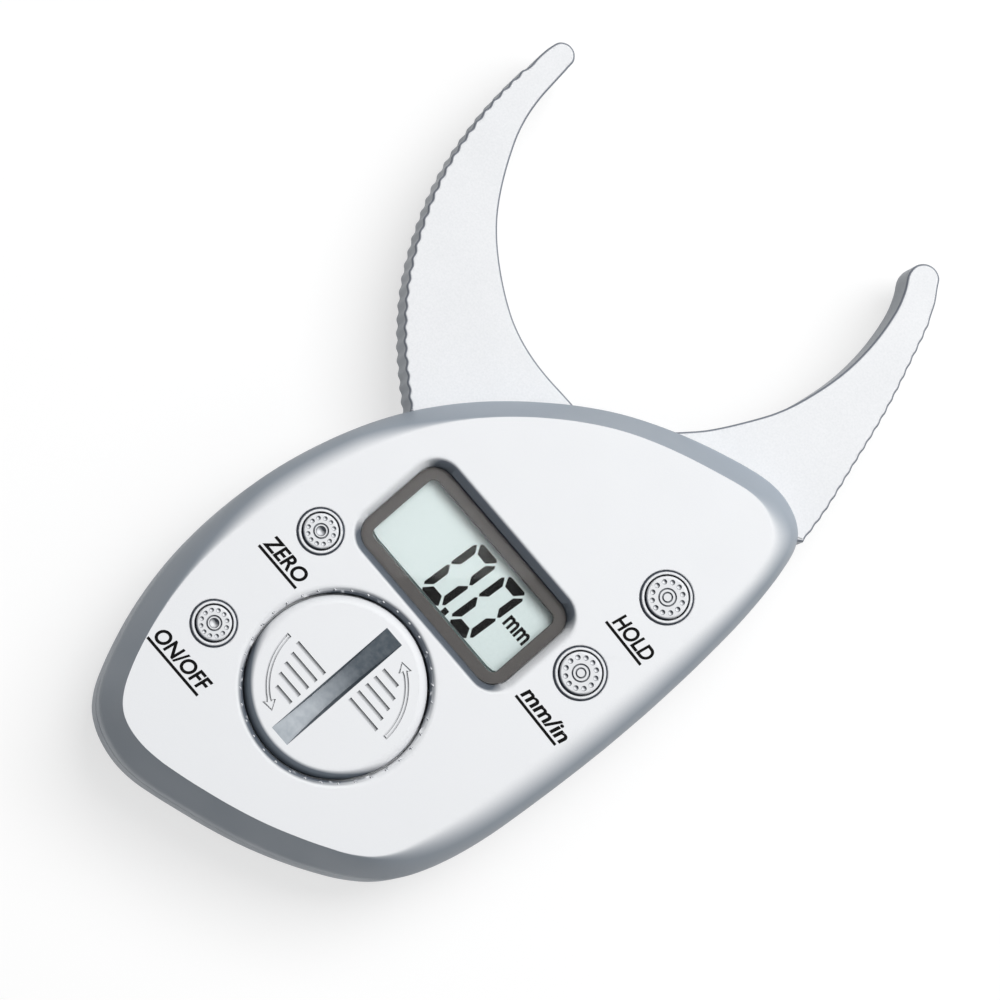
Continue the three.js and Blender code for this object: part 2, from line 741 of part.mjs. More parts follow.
// The bay is a cup with a seat for the cap, and a ledge that holds the cap's two lugs down.
function batteryCutters() {
  const place = [batteryX, batteryY];
  const coneBottom = faceHeight - surroundDepth;
  const flare = surroundSlope * (surroundDepth + cutOverrun) / surroundDepth;
  const notches = [0, Math.PI].map((start) => {
    const middle = start + capTurn;
    const half = lugSpan / 2 + fitGap / capRadius;
    return sector(place, ledgeInner - fitGap, capSeatRadius, middle - half, middle + half,
      ledgeBottom - fitGap, ledgeTop + fitGap);
  });
  const contactSlot = block([batteryX, batteryY - contactLength / 2], contactWidth + fitGap,
    contactThickness + 2 * fitGap, boardTop, wellFloorTop + fitGap);
  const sidePocket = block([batteryX, batteryY + skirtInner + contactThickness],
    contactWidth + 2 * fitGap, 2 * contactThickness + 2 * fitGap, boardTop, undercutBottom + fitGap);
  return [
    disc(place, skirtInner, wellFloorTop, undercutBottom + fitGap, fineSides),
    disc(place, capSeatRadius, undercutBottom, ledgeBottom, fineSides),
    disc(place, ledgeInner, ledgeBottom - fitGap, ledgeTop + fitGap, fineSides),
    disc(place, capSeatRadius, ledgeTop, faceHeight + cutOverrun, fineSides),
    cone(place, capSeatRadius, capSeatRadius + flare, coneBottom, faceHeight + cutOverrun, fineSides),
    ...notches,
    contactSlot,
    sidePocket,
  ];
}

function frontCover() {
  const body = frontBody(0);
  const shell = cutBy(body, frontBody(shellWall), slotSpace);
  const bossTop = innerFace + shellWall / 2;
  const inside = joined(
    ...housingScrewPlaces.map((place) => (
      disc(place, frontBossRadius, partingHeight + partingGap / 2, bossTop))),
    ...boardScrewPlaces.map((place) => disc(place, boardBossRadius, boardTop, bossTop, smallSides)),
    disc([0, 0], pivotBossRadius, frontBossBottom, bossTop),
    plateAt(frameWidth + 2 * collarMargin, frameHeight + 2 * collarMargin, frameCorner,
      glassBottom, bossTop),
    disc([batteryX, batteryY], wellOuter, wellBottom, bossTop, fineSides),
  ).intersect(frontBodyWhole());
  const rings = Object.entries(buttonPlaces).map(([name, place]) => (
    disc(place, buttonRadii[name] + snugGap + buttonRingWidth, bossTop, faceHeight + buttonRingHeight)));
  const holes = [
    ...Object.entries(buttonPlaces).map(([name, place]) => (
      disc(place, buttonRadii[name] + snugGap, innerFace - cutOverrun, faceHeight + cutOverrun))),
    ...housingScrewPlaces.map((place) => (
      disc(place, screwRadius + snugGap, 0, housingScrewTop + fitGap, smallSides))),
    ...boardScrewPlaces.map((place) => (
      disc(place, boardScrewRadius + snugGap, 0, boardScrewTop + fitGap, smallSides))),
    disc([0, 0], pinBore, 0, pinTop + fitGap),
  ];
  return cutBy(joined(shell, inside, ...rings), ...holes, ...displayCutters(), ...batteryCutters());
}

// What is inside the front may reach down past the parting plane, but not out of the outer edge.
const frontBodyWhole = () => joined(
  frontBody(0),
  plate(outerEdge, 0, partingHeight + partingGap),
);

// Back cover

const screwSeat = screwHeadDepth + screwHeadHeight;

function backCover() {
  const body = backBody(0);
  const shell = cutBy(body, backBody(shellWall), slotSpace);
  const floor = shellWall / 2;
  const [postX, postY] = springPostPlace();
  const inside = joined(
    ...housingScrewPlaces.map((place) => (
      disc(place, backBossRadius, floor, partingHeight - partingGap / 2))),
    ...rootScrewPlaces.map((place) => disc(place, frontBossRadius, floor, jawBottom)),
    disc([0, 0], pivotBossRadius, floor, shellWall + pivotBossHeight),
    disc([postX, postY], springPostRadius, floor, springLow + springWire, smallSides),
  ).intersect(body);
  const holes = [
    ...housingScrewPlaces.flatMap((place) => [
      disc(place, screwHeadRadius + fitGap, -cutOverrun, screwSeat),
      disc(place, screwRadius + snugGap, -cutOverrun, faceHeight, smallSides),
    ]),
    ...rootScrewPlaces.map((place) => (
      disc(place, screwRadius + snugGap, pinSeatFloor, faceHeight, smallSides))),
    disc([0, 0], pinBore, pinSeatFloor, faceHeight),
  ];
  return cutBy(joined(shell, inside), ...holes);
}

// The lower leg of the spring pushes against a post on the back cover's floor.
function springPostPlace() {
  const [x, y] = polar(springRadius, springStartAngle);
  const reach = springLeg - springPostRadius;
  const aside = springPostRadius + springWire / 2 + fitGap;
  const along = springStartAngle - Math.PI / 2;
  const out = springStartAngle;
  return [
    x + reach * Math.cos(along) + aside * Math.cos(out),
    y + reach * Math.sin(along) + aside * Math.sin(out),
  ];
}

// Screws, with a pan head and a crossed drive

const housingScrewTop = partingHeight + screwGrip;
const boardScrewTop = boardTop + boardScrewGrip;

function screw([x, y], radius, headRadius, headHeight, seat, end) {
  const up = Math.sign(end - seat);
  const top = seat - up * headHeight;
  const profile = [
    [0, top], [headRadius - headHeight / 2, top], [headRadius, seat - up * headHeight / 2],
    [headRadius, seat], [radius, seat], [radius, end - up * radius], [0, end],
  ];
  const body = turned(up > 0 ? profile : profile.reverse(), [x, y], smallSides);
  const depth = headHeight / 2;
  const low = Math.min(top - up * cutOverrun, top + up * depth);
  const high = Math.max(top - up * cutOverrun, top + up * depth);
  const slots = [
    block([x, y], headRadius, screwDrive, low, high),
    block([x, y], screwDrive, headRadius, low, high),
  ];
  return cutBy(body, ...slots);
}

// Circuit board

function circuitBoard() {
  const wide = plate(inset(outerEdge, shellWall + boardEdgeGap), boardBottom, boardTop);
  const sweepStart = closedInnerAngle - Math.atan(boardSweepGap / movingRootInner);
  const sweep = sector([0, 0], hubRadius, farReach, sweepStart, slotLeftAngle, 0, faceHeight);
  const top = plate([
    [-farReach, fixedRootBottom - boardEdgeGap], [farReach, fixedRootBottom - boardEdgeGap],
    [farReach, farReach], [-farReach, farReach],
  ], 0, faceHeight);
  const bossHoles = housingScrewPlaces.map((place) => (
    disc(place, frontBossRadius + fitGap, 0, faceHeight)));
  const screwHoles = boardScrewPlaces.map((place) => (
    disc(place, boardScrewRadius + snugGap, 0, faceHeight, smallSides)));
  const pivotHole = disc([0, 0], pivotBossRadius + fitGap, 0, faceHeight);
  return cutBy(wide, sweep, top, ...bossHoles, ...screwHoles, pivotHole);
}

const controllerChip = () => block([displayX, displayY], chipSide, chipSide, boardTop, boardTop + chipHeight);

// Display

function displayGlass() {
  const width = frameWidth - 2 * glassInset;
  const height = frameHeight - 2 * glassInset;
  const middle = (glassBottom + glassTop) / 2;
  const corner = frameCorner - glassInset;
  const frontPlace = [displayX, displayY + connectorWidth / 2];
  return joined(
    plateAt(width, height, corner, glassBottom, middle),
    plate(roundedBox(frontPlace, width, height - connectorWidth, corner), middle - fitGap, glassTop),
  );
}

const displayConnector = () => block(
  [displayX, displayY - frameHeight / 2 + glassInset + fitGap + connectorWidth / 2],
  frameWidth - 2 * connectorEndGap, connectorWidth, boardTop, glassBottom,
);
const displayBezel = () => cutBy(
  plateAt(frameWidth, frameHeight, frameCorner, bezelBottom, windowBottom),
  plateAt(lightWidth, lightHeight, lightCorner, bezelBottom - cutOverrun, windowBottom + cutOverrun),
);
const displayWindow = () => plateAt(frameWidth, frameHeight, frameCorner, windowBottom, windowTop);

// Buttons: a cap trapped under the front cover, on a plunger that works a switch on the board.

const flangeTop = innerFace - snugGap;
const plungerTop = boardTop + switchHeight + plungerRise;
const plungerBottom = boardTop + switchHeight - plungerSeat;

function button(place, radius) {
  const top = faceHeight + buttonProud;
  return turned([
    [0, plungerTop],
    [buttonStemRadius, plungerTop],
    [buttonStemRadius, flangeTop - buttonFlangeThickness],
    [radius + buttonFlangeWidth, flangeTop - buttonFlangeThickness],
    [radius + buttonFlangeWidth, flangeTop],
    [radius, flangeTop],
    [radius, top - buttonEdgeRound],
    [radius - buttonEdgeRound, top],
    [dimpleRadius, top],
    [dimpleRadius - dimpleDepth, top - dimpleDepth],
    [0, top - dimpleDepth],
  ], place);
}

const switchPlunger = (place) => disc(place, plungerRadius, plungerBottom, plungerTop, smallSides);
const switchBody = (place) => cutBy(
  block(place, switchSide, switchSide, boardTop, boardTop + switchHeight),
  disc(place, plungerRadius + snugGap, plungerBottom - buttonTravel - snugGap,
    boardTop + switchHeight + cutOverrun, smallSides),
);

// Battery, its contacts and its cap

const batteryCell = () => turned([
  [0, cellBottom], [cellDiameter / 2 - cellFaceInset, cellBottom],
  [cellDiameter / 2 - cellFaceInset, cellBottom + cellEdgeRound],
  [cellDiameter / 2 - cellEdgeRound, cellBottom + cellEdgeRound],
  [cellDiameter / 2, cellBottom + 2 * cellEdgeRound],
  [cellDiameter / 2, cellTop - cellEdgeRound],
  [cellDiameter / 2 - cellEdgeRound, cellTop], [0, cellTop],
], [batteryX, batteryY], fineSides);

// A strip along the bay's floor that springs up to the cell and steps down to the board.
function negativeContact() {
  const end = contactLength / 2;
  const thick = contactThickness;
  const profile = [
    [-end - thick / 2, boardTop], [-end + thick / 2, boardTop],
    [-end + thick / 2, wellFloorTop], [0, wellFloorTop],
    [end / 2, cellBottom - thick], [end, cellBottom - thick - contactDroop],
    [end, cellBottom - contactDroop], [end / 2, cellBottom],
    [0, wellFloorTop + thick], [-end - thick / 2, wellFloorTop + thick],
  ];
  const geometry = new THREE.ExtrudeGeometry(
    new THREE.Shape(profile.map(([x, y]) => new THREE.Vector2(x, y))),
    { depth: contactWidth, bevelEnabled: false },
  );
  geometry.translate(0, 0, -contactWidth / 2).rotateX(Math.PI / 2).rotateZ(Math.PI / 2);
  return toSolid(geometry.translate(batteryX, batteryY, 0));
}

// A strip up the bay's side that touches the rim of the cell.
const positiveContact = () => block(
  [batteryX, batteryY + skirtInner + contactThickness / 2], contactWidth, contactThickness,
  boardTop, undercutBottom,
);

function batteryCap() {
  const place = [batteryX, batteryY];
  const top = disc(place, capRadius, capUnderside, faceHeight, fineSides);
  const skirt = ring(place, skirtInner, skirtOuter, lugBottom, capUnderside + skirtWall, fineSides);
  const lugs = [0, Math.PI].map((middle) => sector(place, skirtInner + skirtWall / 2, capRadius,
    middle - lugSpan / 2, middle + lugSpan / 2, lugBottom, lugTop));
  // The coin slot's floor is bowed like the edge of a coin.
  const coinRadius = (coinSlotDepth ** 2 + (coinSlotLength / 2) ** 2) / (2 * coinSlotDepth);
  const half = Math.asin(coinSlotLength / 2 / coinRadius);
  const up = Math.PI / 2;
  const bow = arcPoints(coinRadius, -up - half, -up + half, smallSides,
    [0, faceHeight - coinSlotDepth + coinRadius]);
  const shape = new THREE.Shape([
    ...bow,
    [coinSlotLength / 2, faceHeight + cutOverrun],
    [-coinSlotLength / 2, faceHeight + cutOverrun],
  ].map(([x, y]) => new THREE.Vector2(x, y)));
  const slot = new THREE.ExtrudeGeometry(shape, { depth: coinSlotWidth, bevelEnabled: false });
  slot.translate(0, 0, -coinSlotWidth / 2).rotateX(Math.PI / 2).rotateZ(Math.PI / 2);
  return cutBy(joined(top, skirt, ...lugs), toSolid(slot.translate(batteryX, batteryY, 0)));
}

const capSeal = () => ring([batteryX, batteryY], ledgeInner, capRadius, ledgeTop, capUnderside, fineSides);

// Assembly

const caliper = new THREE.Group();

function addPiece(name, solid, material) {
  const mesh = new THREE.Mesh(toGeometry(solid), material);
  mesh.name = name;
  caliper.add(mesh);
}

addPiece('front_cover', frontCover(), silverPaint);
addPiece('back_cover', backCover(), silverPaint);
addPiece('fixed_jaw', fixedJaw(), jawPlastic);
addPiece('moving_jaw', movingJaw(), jawPlastic);
addPiece('pivot_pin', pivotPin(), steel);
addPiece('pivot_bush', pivotBush(), brass);
addPiece('pivot_washer', pivotWasher(), steel);
addPiece('return_spring', returnSpring(), steel);
addPiece('encoder_rotor', encoderRotor(), boardGreen);
addPiece('circuit_board', circuitBoard(), boardGreen);
addPiece('controller_chip', controllerChip(), chipBlack);
addPiece('display_glass', displayGlass(), displayCell);
addPiece('display_connector', displayConnector(), darkRubber);
addPiece('display_bezel', displayBezel(), greyPrint);
addPiece('display_window', displayWindow(), clearPlastic);
addPiece('battery_cell', batteryCell(), steel);
addPiece('battery_cap', batteryCap(), silverPaint);
addPiece('battery_cap_seal', capSeal(), darkRubber);
addPiece('negative_contact', negativeContact(), brass);
addPiece('positive_contact', positiveContact(), brass);
housingScrewPlaces.forEach((place, index) => addPiece(`housing_screw_${index + 1}`,
  screw(place, screwRadius, screwHeadRadius, screwHeadHeight, screwSeat, housingScrewTop), steel));
boardScrewPlaces.forEach((place, index) => addPiece(`board_screw_${index + 1}`,
  screw(place, boardScrewRadius, boardScrewHeadRadius, boardScrewHeadHeight, boardBottom, boardScrewTop),
  steel));
rootScrewPlaces.forEach((place, index) => addPiece(`fixed_jaw_screw_${index + 1}`,
  screw(place, screwRadius, screwHeadRadius, screwHeadHeight, jawTop - screwHeadHeight,
    pinSeatFloor + fitGap), steel));
Object.entries(buttonPlaces).forEach(([name, place]) => {
  addPiece(`${name}_button`, button(place, buttonRadii[name]), silverPaint);
  addPiece(`${name}_switch_body`, switchBody(place), steel);
  addPiece(`${name}_switch_plunger`, switchPlunger(place), whitePlastic);
});

export default caliper;
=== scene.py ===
"""A digital skinfold caliper on a pale floor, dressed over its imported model. Lengths are in metres."""

import math

import bmesh
import bpy
import numpy as np
from mathutils import Matrix, Vector
from mathutils.geometry import convex_hull_2d


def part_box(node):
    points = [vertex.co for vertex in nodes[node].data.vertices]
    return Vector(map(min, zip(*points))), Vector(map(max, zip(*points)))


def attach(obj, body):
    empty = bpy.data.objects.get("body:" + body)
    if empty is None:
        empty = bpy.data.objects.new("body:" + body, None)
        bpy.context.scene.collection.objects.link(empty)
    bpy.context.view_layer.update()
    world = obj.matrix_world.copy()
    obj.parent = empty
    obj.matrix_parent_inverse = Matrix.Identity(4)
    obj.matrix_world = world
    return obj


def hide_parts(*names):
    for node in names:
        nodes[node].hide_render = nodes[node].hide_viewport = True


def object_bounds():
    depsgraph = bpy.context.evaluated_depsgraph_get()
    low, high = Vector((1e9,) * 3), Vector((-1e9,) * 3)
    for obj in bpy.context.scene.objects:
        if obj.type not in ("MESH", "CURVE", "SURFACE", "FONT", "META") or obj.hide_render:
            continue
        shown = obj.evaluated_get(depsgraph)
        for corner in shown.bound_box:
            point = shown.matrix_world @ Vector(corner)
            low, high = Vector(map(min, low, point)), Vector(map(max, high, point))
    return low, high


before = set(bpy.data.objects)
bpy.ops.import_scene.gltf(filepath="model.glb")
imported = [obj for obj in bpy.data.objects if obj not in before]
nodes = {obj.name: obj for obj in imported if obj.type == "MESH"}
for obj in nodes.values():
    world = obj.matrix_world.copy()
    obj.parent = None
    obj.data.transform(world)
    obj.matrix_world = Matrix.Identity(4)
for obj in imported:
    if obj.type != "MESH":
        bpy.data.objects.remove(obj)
cad_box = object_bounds()

# Turns, tolerances and fineness

FULL_TURN = 2 * math.pi
QUARTER_TURN = math.pi / 2
SAME_PLACE = 0.000001
NEAR_LEVEL = 0.00001
LEVEL_DIGITS = 6
CORNER_DIGITS = 7
SHARP_TURN = math.radians(28)
CUT_PAST = 0.001
FAR = 0.08
CIRCLE_STEPS = 96
FINE_CIRCLE_STEPS = 192
ROUND_STEPS = 6

# Housing

SKIN = 0.0009
SKIN_LAP = 0.00005
CORE_DEPTH = SKIN - SKIN_LAP
SEAM_ROUND = 0.0002
BACK_ROUND = 0.003
BACK_ROUND_STEPS = 12
SHELL_STEPS = 360
SHOULDER_STEPS = 14
SHOULDER_MIDDLE = math.radians(45)
HUB_SIDE_GAP = 0.0004

# Jaws

JAW_ROUND = 0.00045
JAW_ROUND_STEPS = 5
JAW_CORNER = math.radians(60)
JAW_EDGE_STEPS = 4
HUB_STEP_GAP = 0.0008
HUB_CORE_GAP = 0.0009

# Display and its recess

POCKET_GAP = 0.00015
POCKET_CORNER = 0.003
RECESS_FLARE = 0.001
RECESS_LIP = 0.00035
RECESS_EDGE = RECESS_FLARE + RECESS_LIP
LIGHT_CORNER = 0.0011
CORNER_STEPS = 10
BEZEL_ROUND = 0.00015
WINDOW_BEVEL = 0.00025

# Figures shown, from the lower left corner of the display's opening

DIGIT_COUNT = 2
DIGIT_WIDTH = 0.0043
DIGIT_HEIGHT = 0.0104
DIGIT_PITCH = 0.00577
DIGIT_SLANT = math.radians(4.6)
SIDE_BAR = 0.00108
END_BAR = 0.0015
WAIST = 0.00112
BAR_GAP = 0.00022
BAR_CORNER = 0.0005
BAR_BEVEL = 0.00028
FIRST_DIGIT = (0.00975, 0.0006)
POINT_PLACE = (0.0143, 0.0006)
POINT_SIZE = 0.00086
UNIT_PLACE = (0.02097, 0.00592)
UNIT_WIDTH = 0.0041
UNIT_SIZE = 0.0035
UNIT_WEIGHT = 0.0001
PRINT_THICKNESS = 0.00004

# Battery cap and the surround it sits in

SEAT_RADIUS = 0.0127
SEAT_STEP = 0.00005
SURROUND_DEPTH = 0.00055
SURROUND_RADIUS = 0.0136
BEAD_COUNT = 36
BEAD_RADIUS = 0.00018
BEAD_RING = 0.01305
BEAD_STEPS = 12
CAP_RIM = 0.0013
CAP_RIM_STEPS = 12
CAP_BODY_SHARE = 0.35
COIN_WIDTH = 0.0031
COIN_LENGTH = 0.0206
COIN_DEPTH = 0.0019
COIN_WALL_SLOPE = 0.2
COIN_STEPS = 24
GROOVE_WIDTH = 0.00055
GROOVE_DEPTH = 0.0005
GROOVE_START = 0.00235
GROOVE_LENGTHS = (0.0056, 0.005, 0.0046, 0.00405, 0.003)
GROOVE_FIRST = -0.0002
GROOVE_PITCH = 0.0015
ARROW_RADIUS = 0.0094
ARROW_WIDTH = 0.0007
ARROW_LINE = 0.00026
ARROW_DEPTH = 0.0003
ARROW_START = math.radians(182)
ARROW_END = math.radians(250)
ARROW_HEAD_TURN = math.radians(9)
ARROW_HEAD_WIDTH = 0.0019
ARROW_STEPS = 24

# Buttons and the rings that guard them

KEYS = ["zero", "power", "hold", "unit"]
DIMPLED_KEYS = ["zero", "power"]
RING_REACH = 0.005
RING_ROUND = 0.0002
MOAT_WIDTH = 0.00034
HOLE_LIP = 0.00018
KEY_ROUND = 0.0003
STEM_RADIUS = 0.0015
FLANGE_THICKNESS = 0.0008
DOT_COUNT = 12
DOT_SHARE = 0.125
DOT_STEPS = 20
DOT_RING_SHARE = 0.725
GROOVE_RING_SHARE = 0.4
DIMPLE_SHARE = 0.29
INNER_RING_SHARE = 0.22
KEY_GROOVE_WIDTH = 0.00024

# Labels on the face: the words, their left end and length, the left end and length of the line
# under them, that line's distance below the button's centre and the label's turn.

LABELS = {
    "zero": ("ZERO", -0.00388, 0.00742, -0.004, 0.00765, 0.0078, 0),
    "power": ("ON/OFF", -0.00404, 0.0101, -0.00438, 0.0103, 0.0082, 0),
    "hold": ("HOLD", -0.00244, 0.0071, -0.003, 0.0075, 0.0088, math.radians(-2)),
    "unit": ("mm/in", -0.00327, 0.00873, -0.0035, 0.00857, 0.009, math.radians(-2)),
}
LABEL_SIZE = 0.00295
LABEL_WEIGHT = 0.00008
LABEL_LINE = 0.0004
LABEL_RISE = 0.0007
LABEL_SHEAR = 0.18

# Screws in the back

SCREWS = ["housing_screw_1", "housing_screw_2", "housing_screw_3", "housing_screw_4"]
JAW_SCREWS = ["fixed_jaw_screw_1", "fixed_jaw_screw_2"]
SCREW_HEAD_HOLE = 0.0023
SCREW_HOLE_LIP = 0.0003
SHANK_SHARE = 0.5
TIP_SHARE = 0.5
HEAD_FLAT_SHARE = 0.5
SCREW_STEPS = 48
SCREW_DRIVE = 0.0007
SCREW_DRIVE_REACH = 0.0013
SCREW_DRIVE_DEPTH = 0.0008

# Finishes. Grain and cloud are the scale and detail of a pattern. The shade runs between two
# colours with the grain, and the roughness between two values with the cloud, or with the grain
# where there is no cloud. A bump has its own scale and detail, a height and a strength. A coat
# may have painted shade: it is dark where its surface faces along an axis, both ways or not, as
# far as the first number, and pale from the second number on.

PATTERN_LOW = 0.3
PATTERN_HIGH = 0.7
GRAIN_HEIGHT = 0.00002
FINE_GRAIN_HEIGHT = 0.00001
PLAIN_GLOSS = 0.5
# Painted shade: the darker colours that coats turn to on walls, in grooves and recesses, on the cap's
# rim, in the coin slot and on the jaws' edges and walls
PAINTED_WALL_SHADE = (0.34, 0.39, 0.45)
PAINTED_GROOVE_SHADE = (0.05, 0.06, 0.08)
PAINTED_RECESS_SHADE = (0.12, 0.14, 0.17)
PAINTED_RIM_SHADE = (0.13, 0.155, 0.185)
SLOT_PAINTED_WALL_SHADE = (0.07, 0.09, 0.11)
PAINTED_EDGE_SHADE = (0.2, 0.22, 0.26)
PAINTED_JAW_WALL_SHADE = (0.43, 0.47, 0.52)
# Where each painted shade falls, by the way the surface faces
ON_WALLS = [("Z", True, 0.5, 0.995)]
IN_GROOVES = [("Z", True, 0.5, 0.96)]
ON_KEYS = [("Y", False, -0.6, 0.05), ("Z", True, 0.3, 0.8)]
IN_RECESS = [("Y", True, 0.62, 0.2), ("Z", True, 0, 0.15)]
ON_CAP_RIM = [("Y", False, -0.35, -0.08), ("Z", True, 0.15, 0.4)]
IN_SLOT = [("Z", True, 0.3, 0.7)]
ON_EDGES = [("Z", True, 0.85, 0.97)]
ON_JAW_WALLS = [("Z", True, 0.1, 0.4)]

# Pale silver lacquer with fine flakes; each coat made from it adds painted shade on walls and in hollows
SILVER = dict(
    grain=(9000, 3), shades=((0.83, 0.845, 0.87), (0.89, 0.905, 0.925)), gloss=0.35,
    cloud=(160, 3), roughness=(0.38, 0.46), bump_at=(900, 2, GRAIN_HEIGHT, 0.25),
)
FINISHES = {
    # Painted shade darkens the housing's steep walls
    "silver_with_wall_shade": dict(SILVER, dark=[(PAINTED_WALL_SHADE, ON_WALLS)]),
    # Painted shade darkens the steep sides of grooves, moats, rings and dimples
    "silver_with_groove_shade": dict(SILVER, dark=[(PAINTED_GROOVE_SHADE, IN_GROOVES)]),
    # Painted shade darkens the keys where they face -Y and on their steep sides
    "silver_with_key_shade": dict(SILVER, dark=[(PAINTED_GROOVE_SHADE, ON_KEYS)]),
    # Painted shade darkens recess walls that face either way along Y, and upright walls
    "silver_with_recess_shade": dict(SILVER, dark=[(PAINTED_RECESS_SHADE, IN_RECESS)]),
    # Painted shade darkens the cap's rim where it faces -Y, and its upright walls
    "silver_with_rim_shade": dict(SILVER, dark=[(PAINTED_RIM_SHADE, ON_CAP_RIM)]),
    # Matt pale grey moulded plastic with a fine grain, with painted shade that darkens its rounded edges
    # and its walls
    "jaw_plastic": dict(
        grain=(3500, 4), shades=((0.79, 0.805, 0.825), (0.85, 0.86, 0.88)), gloss=0.4,
        cloud=(120, 2), roughness=(0.38, 0.48), bump_at=(3500, 4, GRAIN_HEIGHT, 0.3),
        dark=[(PAINTED_EDGE_SHADE, ON_EDGES), (PAINTED_JAW_WALL_SHADE, ON_JAW_WALLS)],
    ),
    # Dark warm grey print round the display
    "display_border": dict(
        grain=(5000, 3), shades=((0.1, 0.095, 0.092), (0.12, 0.114, 0.11)), gloss=0.1,
        cloud=(400, 2), roughness=(0.45, 0.55),
    ),
    # Pale green-grey liquid crystal with a faint mottle
    "display_cell": dict(
        grain=(2500, 3), shades=((0.68, 0.78, 0.77), (0.71, 0.81, 0.8)), gloss=0.1,
        cloud=(300, 2), roughness=(0.3, 0.4),
    ),
    # Printed black with a slight tooth
    "black_ink": dict(
        grain=(6000, 2), shades=((0.002, 0.002, 0.002), (0.007, 0.007, 0.007)), gloss=0.05,
        roughness=(0.6, 0.8),
    ),
    "rubber": dict(
        grain=(4000, 3), shades=((0.022, 0.022, 0.022), (0.04, 0.04, 0.04)),
        roughness=(0.75,), bump_at=(4000, 3, GRAIN_HEIGHT, 0.4),
    ),
    # Green solder mask with faint darker patches
    "board": dict(
        grain=(900, 1), shades=((0.015, 0.13, 0.05), (0.03, 0.21, 0.09)),
        roughness=(0.3, 0.45),
    ),
    "chip": dict(
        grain=(5000, 3), shades=((0.015, 0.015, 0.017), (0.03, 0.03, 0.033)),
        roughness=(0.55,), bump_at=(5000, 3, FINE_GRAIN_HEIGHT, 0.3),
    ),
    # Bright steel, finely mottled
    "steel": dict(
        grain=(3000, 4), shades=((0.56, 0.56, 0.58), (0.68, 0.68, 0.7)), metallic=1,
        roughness=(0.24, 0.36),
    ),
    "contact_metal": dict(
        grain=(2500, 4), shades=((0.72, 0.62, 0.36), (0.82, 0.73, 0.48)), metallic=1,
        roughness=(0.25, 0.38),
    ),
    "plunger_plastic": dict(
        grain=(3000, 3), shades=((0.67, 0.67, 0.65), (0.74, 0.74, 0.72)),
        roughness=(0.4, 0.52),
    ),
}

# Coats with a rule of their own: the slot, dark with painted shade that deepens towards one end, the
# window and the floor
SLOT_PAINTED_SHADE_ENDS = ((0.31, 0.35, 0.39), (0.04, 0.06, 0.08))
SLOT_SPECKS = (1200, 4)
SPECK_SHADES = ((0.1, 0.12, 0.15), (0.6, 0.63, 0.66))
SPECK_SHARE = 0.13
SLOT_CLOUD = (500, 2)
SLOT_ROUGHNESS = (0.3, 0.45)
WINDOW_IOR = 1.15
WINDOW_HAZE = (200, 2)
WINDOW_ROUGHNESS = (0, 0.001)
FLOOR_SHADES = (0.28, 0.38)
FLOOR_GLOW = 0.66
WHITE = (1, 1, 1)

# The model's nodes that show as they are, by finish
BARE_NODES = {
    "display_cell": ["display_glass"],
    "rubber": ["battery_cap_seal"],
    "board": ["circuit_board"],
    "chip": [
        "controller_chip", "encoder_rotor", "display_connector",
        *[key + "_switch_body" for key in KEYS],
    ],
    "steel": [
        "pivot_pin", "pivot_washer", "return_spring", "battery_cell", "board_screw_1",
        "board_screw_2", "board_screw_3", *JAW_SCREWS,
    ],
    "contact_metal": ["negative_contact", "positive_contact", "pivot_bush"],
    "plunger_plastic": [key + "_switch_plunger" for key in KEYS],
}

# Camera, lamps and floor

CAMERA_TOWARD = Vector((-0.03724, -0.17313, 0.9842))
CAMERA_TURN = math.radians(49.5)
CAMERA_DISTANCE = 0.94
CAMERA_AIM = Vector((-0.00321, -0.00231, 0.0125))
CAMERA_LENS = 248.94
# Which side of the mirrored edge each panel lies on, its gap to that edge, its width and depth,
# and its brightness.
PANELS = {
    "main_panel": (1, 0, 1.2, 0.85, 5.45),
    "low_panel": (-1, 0.12, 1.3, 0.9, 0.55),
}
PANEL_HEIGHT = 1.1
PANEL_SHIFT = 0.45
GLARE_RISE = -0.00035
AMBIENT = 0.22
FLOOR_SIZE = 3
FLOOR_GAP = 0.0001

# Places and sizes that the model gives


def low_corner(node):
    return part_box(node)[0]


def high_corner(node):
    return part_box(node)[1]


def centre_of(node):
    low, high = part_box(node)
    return (low + high) / 2


def size_of(node):
    low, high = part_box(node)
    return high - low


def points_of(node):
    return [vertex.co for vertex in nodes[node].data.vertices]


def levels_of(node):
    """Every height at which the node has a corner, lowest first."""
    return sorted({round(point.z, LEVEL_DIGITS) for point in points_of(node)})


jaw_top = high_corner("moving_jaw").z
jaw_bottom = low_corner("moving_jaw").z
hub_radius = high_corner("moving_jaw").x
face_height = high_corner("battery_cap").z
ring_top = high_corner("front_cover").z
slot_top = next(level for level in levels_of("front_cover") if level > jaw_top)
slot_bottom = max(level for level in levels_of("back_cover") if level < jaw_bottom)
front_parting = low_corner("front_cover").z
back_parting = high_corner("back_cover").z
ledge_top = low_corner("battery_cap_seal").z
window_top = high_corner("display_window").z
bezel_top = high_corner("display_bezel").z
cap_underside = high_corner("battery_cap_seal").z
cap_radius = size_of("battery_cap_seal").x / 2
above_face = face_height + CUT_PAST
pivot = Vector((0, 0))
display = centre_of("display_window").xy
battery = centre_of("battery_cap_seal").xy

# Lines


def polar(centre, radius, angle):
    return (centre[0] + radius * math.cos(angle), centre[1] + radius * math.sin(angle))


def arc(centre, radius, start, end, steps):
    angles = [start + (end - start) * step / steps for step in range(steps + 1)]
    return [polar(centre, radius, angle) for angle in angles]


def circle(centre, radius, steps=CIRCLE_STEPS, start=0):
    angles = [start + FULL_TURN * step / steps for step in range(steps)]
    return [polar(centre, radius, angle) for angle in angles]


